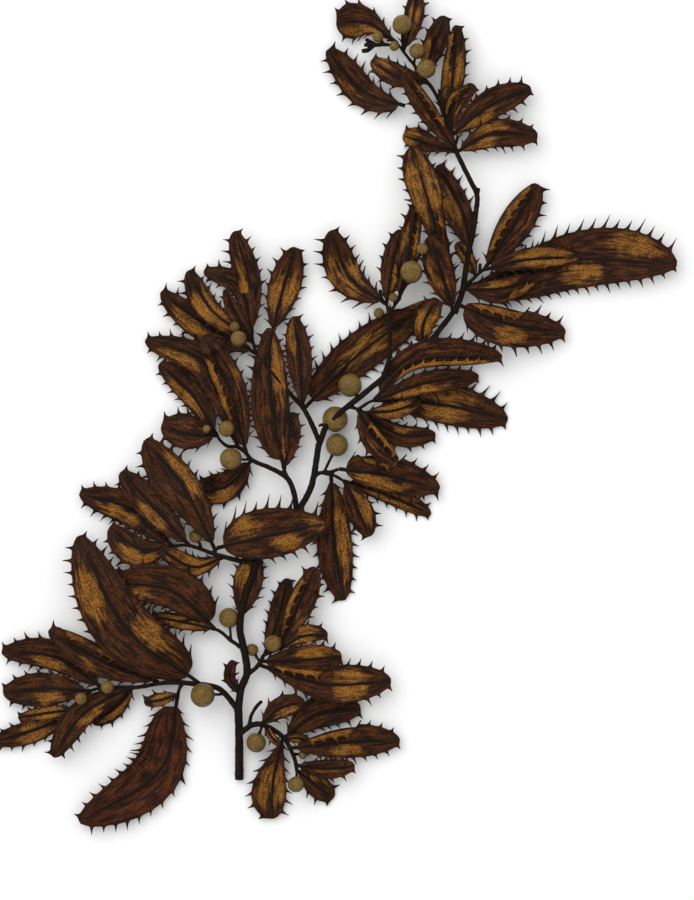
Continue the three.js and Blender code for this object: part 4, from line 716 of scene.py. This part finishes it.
def leaf_heights(name, root, line, us):
    """Height of the blade's middle at each station, read from its solid and smoothed."""
    heights = []
    last = root.z
    for p, u in zip(line, us):
        layers = [(a + b) / 2 for a, b in layers_at(name, p.x, p.y) if b - a < LAYER_MOST]
        if READ_FROM < u < READ_TO and layers:
            near = min(layers, key=lambda z: abs(z - last))
            if abs(near - last) < LAYER_JUMP:
                last = near
        heights.append(last)
    heights[0] = root.z
    for _ in range(HEIGHT_ROUNDS):
        inner = [(a + 2 * b + c) / 4 for a, b, c in zip(heights, heights[1:], heights[2:])]
        heights = [heights[0], *inner, heights[-1]]
    return heights


def patch(gold, u, v):
    """How much of an ochre patch of painted light a place on a leaf has. v is -1 at the right margin and 1 at
    the left.
    """
    most = 0.0
    for side, start, end, strength in gold:
        lengthways = (u - (start + end) / 2) / ((end - start) / 2 + PAINTED_LIGHT_SOFT)
        spots, reach = PAINTED_LIGHT_PLACES[side]
        across = min(abs(v - spot) for spot in spots) / reach
        most = max(most, strength * max(0.0, 1 - lengthways**2 - across**2) ** 0.6)
    return most


def width_at(leaf, u, v):
    """Half width of a leaf in mm on the side of v, as it is before the outline closes round the tip."""
    return half_width(min(u, TIP_AT), leaf["left"] if v > 0 else leaf["right"], leaf["peak"][v < 0])


def tooth_phase(leaf, u, v):
    """Where a share of a leaf's length stands in the run of teeth on the side of v, in teeth."""
    return (u - STALK_SHARE) / (1 - STALK_SHARE) * leaf["teeth"] + (0.0 if v > 0 else TOOTH_SHIFT)


def leaf_place(leaf, k, v):
    """Place in mm of a leaf's station k at v across, and how far it is folded."""
    full = leaf["left"] if v > 0 else leaf["right"]
    u = leaf["us"][k]
    wide = width_at(leaf, u, v) * min(1.0, (1 - u) / (1 - TIP_AT)) ** 0.5
    side = 1 if v > 0 else -1
    out = abs(v) * wide
    up = CUP * out
    fold = 0.0
    if leaf["fold"] and (leaf["fold"][0] == "L") == (v > 0) and v != 0:
        start, end = leaf["fold"][1:]
        fold = clamp((u - start) / FOLD_RAMP + 0.4) * clamp((end - u) / FOLD_RAMP + 0.4)
    if abs(v) > FOLD_AT:
        share = (abs(v) - FOLD_AT) / (1 - FOLD_AT)
        back = wide * (FOLD_AT - (abs(v) - FOLD_AT) * FOLD_BACK)
        out += (back - out) * fold
        up += fold * (FOLD_GAP + FOLD_RISE * math.sin(share * math.pi * 0.62))
    ruffle = leaf["ruffle"] * abs(v) ** 3 * (1 - fold) * min(1.0, 4 * u) * min(1.0, 8 * (1 - u))
    up += ruffle * math.sin(leaf["wave"] * u * leaf["length"] + 1.9 * side + leaf["turn"])
    lean = 0.0
    if abs(v) > TOOTH_FROM and u > STALK_SHARE:
        phase = tooth_phase(leaf, u, v)
        size = leaf["sizes"][side][int(phase) % leaf["teeth"]]
        size *= 1.0 if abs(v) == 1.0 else TOOTH_ROOT
        size *= min(1.0, 3 * wide / full + 0.2)
        out += size * tooth_out(phase) * (1 - 2 * fold)
        lean = TOOTH_LEAN * size * tooth_out(phase)
    p, way = leaf["line"][k], leaf["ways"][k]
    x = p.x - way.y * out * side + way.x * lean
    y = p.y + way.x * out * side + way.y * lean
    rib = leaf["midrib"] * math.exp(-((abs(v) * wide / MIDRIB_HALF) ** 2)) * min(1.0, 10 * (1 - u))
    return Vector((x, y, leaf["heights"][k] + up + rib)), fold


def between(points, where):
    """The place at a share of the way between two neighbouring points."""
    k = min(len(points) - 2, int(where))
    return points[k].lerp(points[k + 1], where % 1)


def describe_leaf(area, row, settings, seed):
    """All that a leaf's mesh needs, from its row of the plan. A small leaf's solid is part of its host's."""
    number, host, foot, middle, tip, left, right, more = row
    name = f"{area}_leaf_{number}"
    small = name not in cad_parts
    draw = random.Random(seed)
    root = nearest_stem(host, foot)
    start = (root.x, root.y) if small else foot
    fine, length = spline([(*start, 0), (*middle, 0), (*tip, 0)], LEAF_STEPS)
    us, teeth = stations(length)
    line = [between(fine, u * LEAF_STEPS) for u in us]
    ways = []
    for k in range(len(us)):
        a, b = line[max(0, k - 1)], line[min(len(us) - 1, k + 1)]
        ways.append((b - a).normalized())
    node_name = host if small else name
    size = min(settings.tooth / MM, 1.0 + 0.26 * max(left, right))
    spines = more.get("spines", (1.0, 1.0))
    sizes = {}
    for side, spine in zip((1, -1), spines):
        sizes[side] = [size * spine * draw.uniform(*TOOTH_SIZES) for _ in range(teeth)]
    return {
        "name": name, "node": node_name, "root": root, "us": us, "teeth": teeth, "line": line, "ways": ways,
        "length": length, "left": left, "right": right, "peak": more.get("peak", (PEAK, PEAK)),
        "fold": more.get("fold"), "gold": [(*painted_light_patch, 1.0)[:4] for painted_light_patch in more.get("gold", ())],
        "red": "red" in more, "small": small,
        "ruffle": settings.ruffle / MM, "midrib": settings.midrib / MM,
        "wave": draw.uniform(*WAVES), "turn": draw.uniform(0, 6),
        "sizes": sizes,
        "heights": leaf_heights(node_name, root, line, us),
    }


def deselect():
    """A new primitive or a join then acts on nothing but its own pieces."""
    bpy.ops.object.select_all(action="DESELECT")


def finish_piece(piece, name, node_name, material):
    """Names a piece, gives it its finish and ties it to the frame."""
    piece.name = name
    piece.data.name = name
    piece.data.materials.clear()
    piece.data.materials.append(material)
    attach(piece, "root")
    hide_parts(node_name)


def apply_modifier(piece, name, kind, **settings):
    """A modifier with its settings, applied at once."""
    made = piece.modifiers.new(name, kind)
    for key, value in settings.items():
        setattr(made, key, value)
    bpy.ops.object.modifier_apply(modifier=name)


def grow_leaf(leaf, settings, material):
    """A grid bent to the leaf's outline, folds and waves, then given its thickness."""
    columns = [-v for v in reversed(ACROSS)] + [0.0] + list(ACROSS)
    rows = len(leaf["us"])
    deselect()
    bpy.ops.mesh.primitive_grid_add(x_subdivisions=rows - 1, y_subdivisions=len(columns) - 1, size=1)
    piece = bpy.context.object
    mesh = piece.data
    paint = mesh.color_attributes.new("blade", "FLOAT_COLOR", "POINT")
    flow = mesh.attributes.new("flow", "FLOAT_VECTOR", "POINT")
    for vertex in mesh.vertices:
        k = round((vertex.co.x + 0.5) * (rows - 1))
        v = columns[round((vertex.co.y + 0.5) * (len(columns) - 1))]
        at, fold = leaf_place(leaf, k, v)
        vertex.co = place_mm(*at)
        paint.data[vertex.index].color = blade_paint(leaf, k, v, fold)
        width = leaf["left"] if v > 0 else leaf["right"]
        forward = leaf["us"][k] * leaf["length"] - 0.5 * abs(v) * width
        flow.data[vertex.index].vector = (forward / STREAK_LONG, v * width / STREAK_WIDE, leaf["turn"] * 9)
    bpy.ops.object.mode_set(mode="EDIT")
    bpy.ops.mesh.select_all(action="SELECT")
    bpy.ops.mesh.remove_doubles(threshold=WELD * MM)
    bpy.ops.object.mode_set(mode="OBJECT")
    apply_modifier(piece, "Blade", "SOLIDIFY", thickness=settings.thickness, offset=0)
    bpy.ops.object.shade_smooth()
    finish_piece(piece, leaf["name"] + "_blade", leaf["node"], material)


def blade_paint(leaf, k, v, fold):
    """Red: ochre patch of painted light. Green: midrib. Blue: margin and teeth. Alpha: painted light between
    midrib and margin.
    """
    u = leaf["us"][k]
    out = abs(v) * width_at(leaf, u, v)
    rib = math.exp(-((out / RIB_HALF) ** 2)) * min(1.0, (1 - u) * 5)
    rib = max(rib, 1 - u / 0.1) if u < 0.1 else rib
    margin = max(0.0, (abs(v) - TOOTH_FROM) / (1 - TOOTH_FROM))
    if abs(v) > TOOTH_FROM and u > STALK_SHARE:
        margin *= 0.45 + 0.55 * tooth_out(tooth_phase(leaf, u, v))
    gold = patch(leaf["gold"], u, v) * (1 - margin)
    # Painted light across the middle of each half of the blade, fading to the midrib, the margin, the stalk
    # and the tip.
    painted_light_band = math.sin(math.pi * abs(v)) * math.sin(math.pi * min(1.0, u)) ** 0.5
    # Painted light: the turned-over part of a folded margin gets the ochre of the lit patches.
    return (max(gold, FOLD_GOLD * fold * clamp((abs(v) - FOLD_AT) / 0.08)), rib, margin, painted_light_band)


# Stems and air bladders


def grow_tube(points, radii):
    """A path through the points with the radii, thickened and made a mesh. Points and radii are in mm."""
    deselect()
    bpy.ops.curve.primitive_nurbs_path_add()
    piece = bpy.context.object
    curve = piece.data
    curve.splines.clear()
    run = curve.splines.new("POLY")
    run.points.add(len(points) - 1)
    for spot, p, r in zip(run.points, points, radii):
        spot.co = (*place_mm(*p), 1)
        spot.radius = r
    curve.dimensions = "3D"
    curve.bevel_depth = MM
    curve.bevel_resolution = 3
    curve.use_fill_caps = True
    bpy.ops.object.convert(target="MESH")
    return bpy.context.object


def join(pieces):
    """The pieces as one object."""
    deselect()
    for piece in pieces:
        piece.select_set(True)
    bpy.context.view_layer.objects.active = pieces[0]
    if len(pieces) > 1:
        bpy.ops.object.join()
    return bpy.context.object


def bladder_centre(row):
    """Centre of an air bladder in mm, at the height its solid has."""
    host, (x, y), r, _ = row
    layers = layers_at(host, x + 0.07, y + 0.04)
    usual = (STEM_Z - r, STEM_Z + r)
    top = min(layers, key=lambda layer: abs(layer[1] - layer[0] - 2 * r), default=usual)[1]
    return (x, y, top - r)


def grow_stems(host, settings, material):
    """All of a host's stems, twigs and bladder stalks, blended at the forks and wrinkled."""
    tubes = []
    for row in rows_of(STEMS, host):
        points = spline(stem_points(row), STEM_STEPS * len(row[1]))[0]
        count = len(points) - 1
        radii = [stem_radius(row, k / count) for k in range(count + 1)]
        tubes.append(grow_tube(points, radii))
    for row in rows_of(BLADDERS, host):
        centre = bladder_centre(row)
        start = nearest_stem(host, row[3])
        first = centre_of_host(row) or (row[3][0], row[3][1], start.z)
        middle = [(a + b) / 2 for a, b in zip(first, centre)]
        middle[2] -= STALK_SAG
        points = spline([first, middle, centre], STALK_STEPS)[0]
        radii = [STALK_R * (0.9 + 0.5 * (k / STALK_STEPS) ** 3) for k in range(STALK_STEPS + 1)]
        tubes.append(grow_tube(points, radii))
    piece = join(tubes)
    apply_modifier(piece, "Blend", "REMESH", mode="VOXEL", voxel_size=settings.grain)
    apply_modifier(piece, "Soften", "SMOOTH", factor=0.5, iterations=4)
    for vertex in piece.data.vertices:
        rough = sum(noise.noise(vertex.co / (size * MM)) * height for size, height in WRINKLES)
        vertex.co += vertex.normal * rough * MM
    bpy.ops.object.shade_smooth()
    finish_piece(piece, host + "_stems", host, material)


def stem_radius(row, share):
    """A stem's radius at a share of its length, in mm. A tip that swells is a fruiting tip, club-shaped."""
    first, last = row[2:4]
    if last > first:
        return first + (last - first) * 1.25 * math.sin(math.pi * min(1.0, share * 0.62 + 0.05)) ** 2
    return first + (last - first) * share


def centre_of_host(row):
    """The larger bladder's centre where a small bladder sits on it, else None."""
    for other in BLADDERS:
        if other[1] == row[3]:
            return bladder_centre(other)
    return None


def grow_bladders(host, settings, material):
    """All of a host's air bladders: balls drawn out a little and dented, each on its stalk."""
    balls = []
    for row in rows_of(BLADDERS, host):
        centre = place_mm(*bladder_centre(row))
        r = row[2] * MM
        deselect()
        bpy.ops.mesh.primitive_uv_sphere_add(segments=36, ring_count=22, radius=r, location=centre)
        bpy.ops.object.transform_apply(location=True, rotation=False, scale=False)
        ball = bpy.context.object
        paint = ball.data.attributes.new("bladder", "FLOAT", "POINT")
        for vertex in ball.data.vertices:
            away = (vertex.co - centre) / r
            # Painted shade, kept for the skin: darker on the underside and towards the lower right, away from
            # the key light, with a little noise.
            shade = 0.5 - 0.5 * away.z + 0.14 * (away.x - away.y)
            paint.data[vertex.index].value = shade + 0.12 * noise.noise(vertex.co / (2 * MM))
            dent = 1 + 0.035 * noise.noise(vertex.co / (3 * MM)) - 0.015
            away.z *= settings.oval
            vertex.co = centre + away * r * dent
        balls.append(ball)
    if not balls:
        return
    piece = join(balls)
    bpy.ops.object.shade_smooth()
    finish_piece(piece, host + "_bladders", host, material)


# Operators


class SEAWEED_OT_stems(bpy.types.Operator):
    """Grows the stems, twigs, stalks and fruiting tips"""

    bl_idname = "seaweed.stems"
    bl_label = "Stems"

    def execute(self, context):
        settings = context.scene.seaweed_stem
        material = stem_material(settings)
        for host in HOSTS:
            grow_stems(host, settings, material)
        return {"FINISHED"}


class SEAWEED_OT_bladders(bpy.types.Operator):
    """Grows the air bladders"""

    bl_idname = "seaweed.bladders"
    bl_label = "Air bladders"

    def execute(self, context):
        settings = context.scene.seaweed_bladder
        material = bladder_material(settings)
        for host in HOSTS:
            grow_bladders(host, settings, material)
        return {"FINISHED"}


class SEAWEED_OT_leaves(bpy.types.Operator):
    """Grows the leaves"""

    bl_idname = "seaweed.leaves"
    bl_label = "Leaves"

    def execute(self, context):
        settings = context.scene.seaweed_leaf
        brown = blade_material("brown_blade", settings.dark, settings.gold, settings.rib)
        red = blade_material("reddish_blade", settings.red, settings.gold, settings.rib)
        rows = [(area, row) for area, part in LEAVES for row in part]
        for seed, (area, row) in enumerate(rows):
            leaf = describe_leaf(area, row, settings, seed)
            grow_leaf(leaf, settings, red if leaf["red"] else brown)
        return {"FINISHED"}


class SEAWEED_OT_stage(bpy.types.Operator):
    """Sets the table, the lights and the camera"""

    bl_idname = "seaweed.stage"
    bl_label = "Stage"

    def execute(self, context):
        settings = context.scene.seaweed_stage
        deselect()
        bpy.ops.mesh.primitive_plane_add(size=FLOOR_SIZE)
        floor = context.object
        floor.name = "floor"
        made, tree, shader, _ = new_material("white_card")
        colour = linear(settings.floor)
        feed(tree, shader, {"Base Color": colour, "Roughness": 0.9, "Specular IOR Level": 0.1})
        floor.data.materials.append(made)
        world = bpy.data.worlds.new("studio")
        context.scene.world = world
        world.use_nodes = True
        sky = world.node_tree.nodes["Background"]
        feed(world.node_tree, sky, {"Color": (1, 1, 1, 1), "Strength": WORLD_STRENGTH})
        bpy.ops.object.light_add(type="AREA", location=KEY_PLACE)
        key = context.object
        key.name = "key"
        key.data.size = KEY_SIZE
        key.data.energy = settings.key
        key.rotation_euler = (-Vector(KEY_PLACE)).to_track_quat("-Z", "Y").to_euler()
        middle = place_mm(SHEET[0] / 2, SHEET[1] / 2, SHEET_Z)
        distance = SHEET[1] * MM * settings.lens / SENSOR
        bpy.ops.object.camera_add(location=middle + Vector((0, 0, distance)), rotation=(0, 0, 0))
        camera = context.object
        camera.data.sensor_fit = "VERTICAL"
        camera.data.sensor_height = SENSOR
        camera.data.lens = settings.lens
        camera.data.clip_end = 20
        context.scene.camera = camera
        context.scene.view_settings.view_transform = "Standard"
        return {"FINISHED"}


class SEAWEED_PT_panel(bpy.types.Panel):
    """Lists the sizes, the colours and the steps"""

    bl_label = "Sargassum sprig"
    bl_idname = "SEAWEED_PT_panel"
    bl_space_type = "VIEW_3D"
    bl_region_type = "UI"
    bl_category = "Seaweed"

    def draw(self, context):
        for (key, group), step in zip(SETTINGS.items(), STEPS):
            box = self.layout.box()
            box.operator(step.bl_idname)
            for name in group.__annotations__:
                box.prop(getattr(context.scene, key), name)


STEPS = (SEAWEED_OT_leaves, SEAWEED_OT_stems, SEAWEED_OT_bladders, SEAWEED_OT_stage)
CLASSES = (*SETTINGS.values(), *STEPS, SEAWEED_PT_panel)


def register():
    for item in CLASSES:
        bpy.utils.register_class(item)
    for key, group in SETTINGS.items():
        setattr(bpy.types.Scene, key, bpy.props.PointerProperty(type=group))


def unregister():
    for key in SETTINGS:
        delattr(bpy.types.Scene, key)
    for item in reversed(CLASSES):
        bpy.utils.unregister_class(item)


def main():
    register()
    bpy.ops.seaweed.stems()
    bpy.ops.seaweed.bladders()
    bpy.ops.seaweed.leaves()
    bpy.ops.seaweed.stage()


if __name__ == "__main__":
    main()
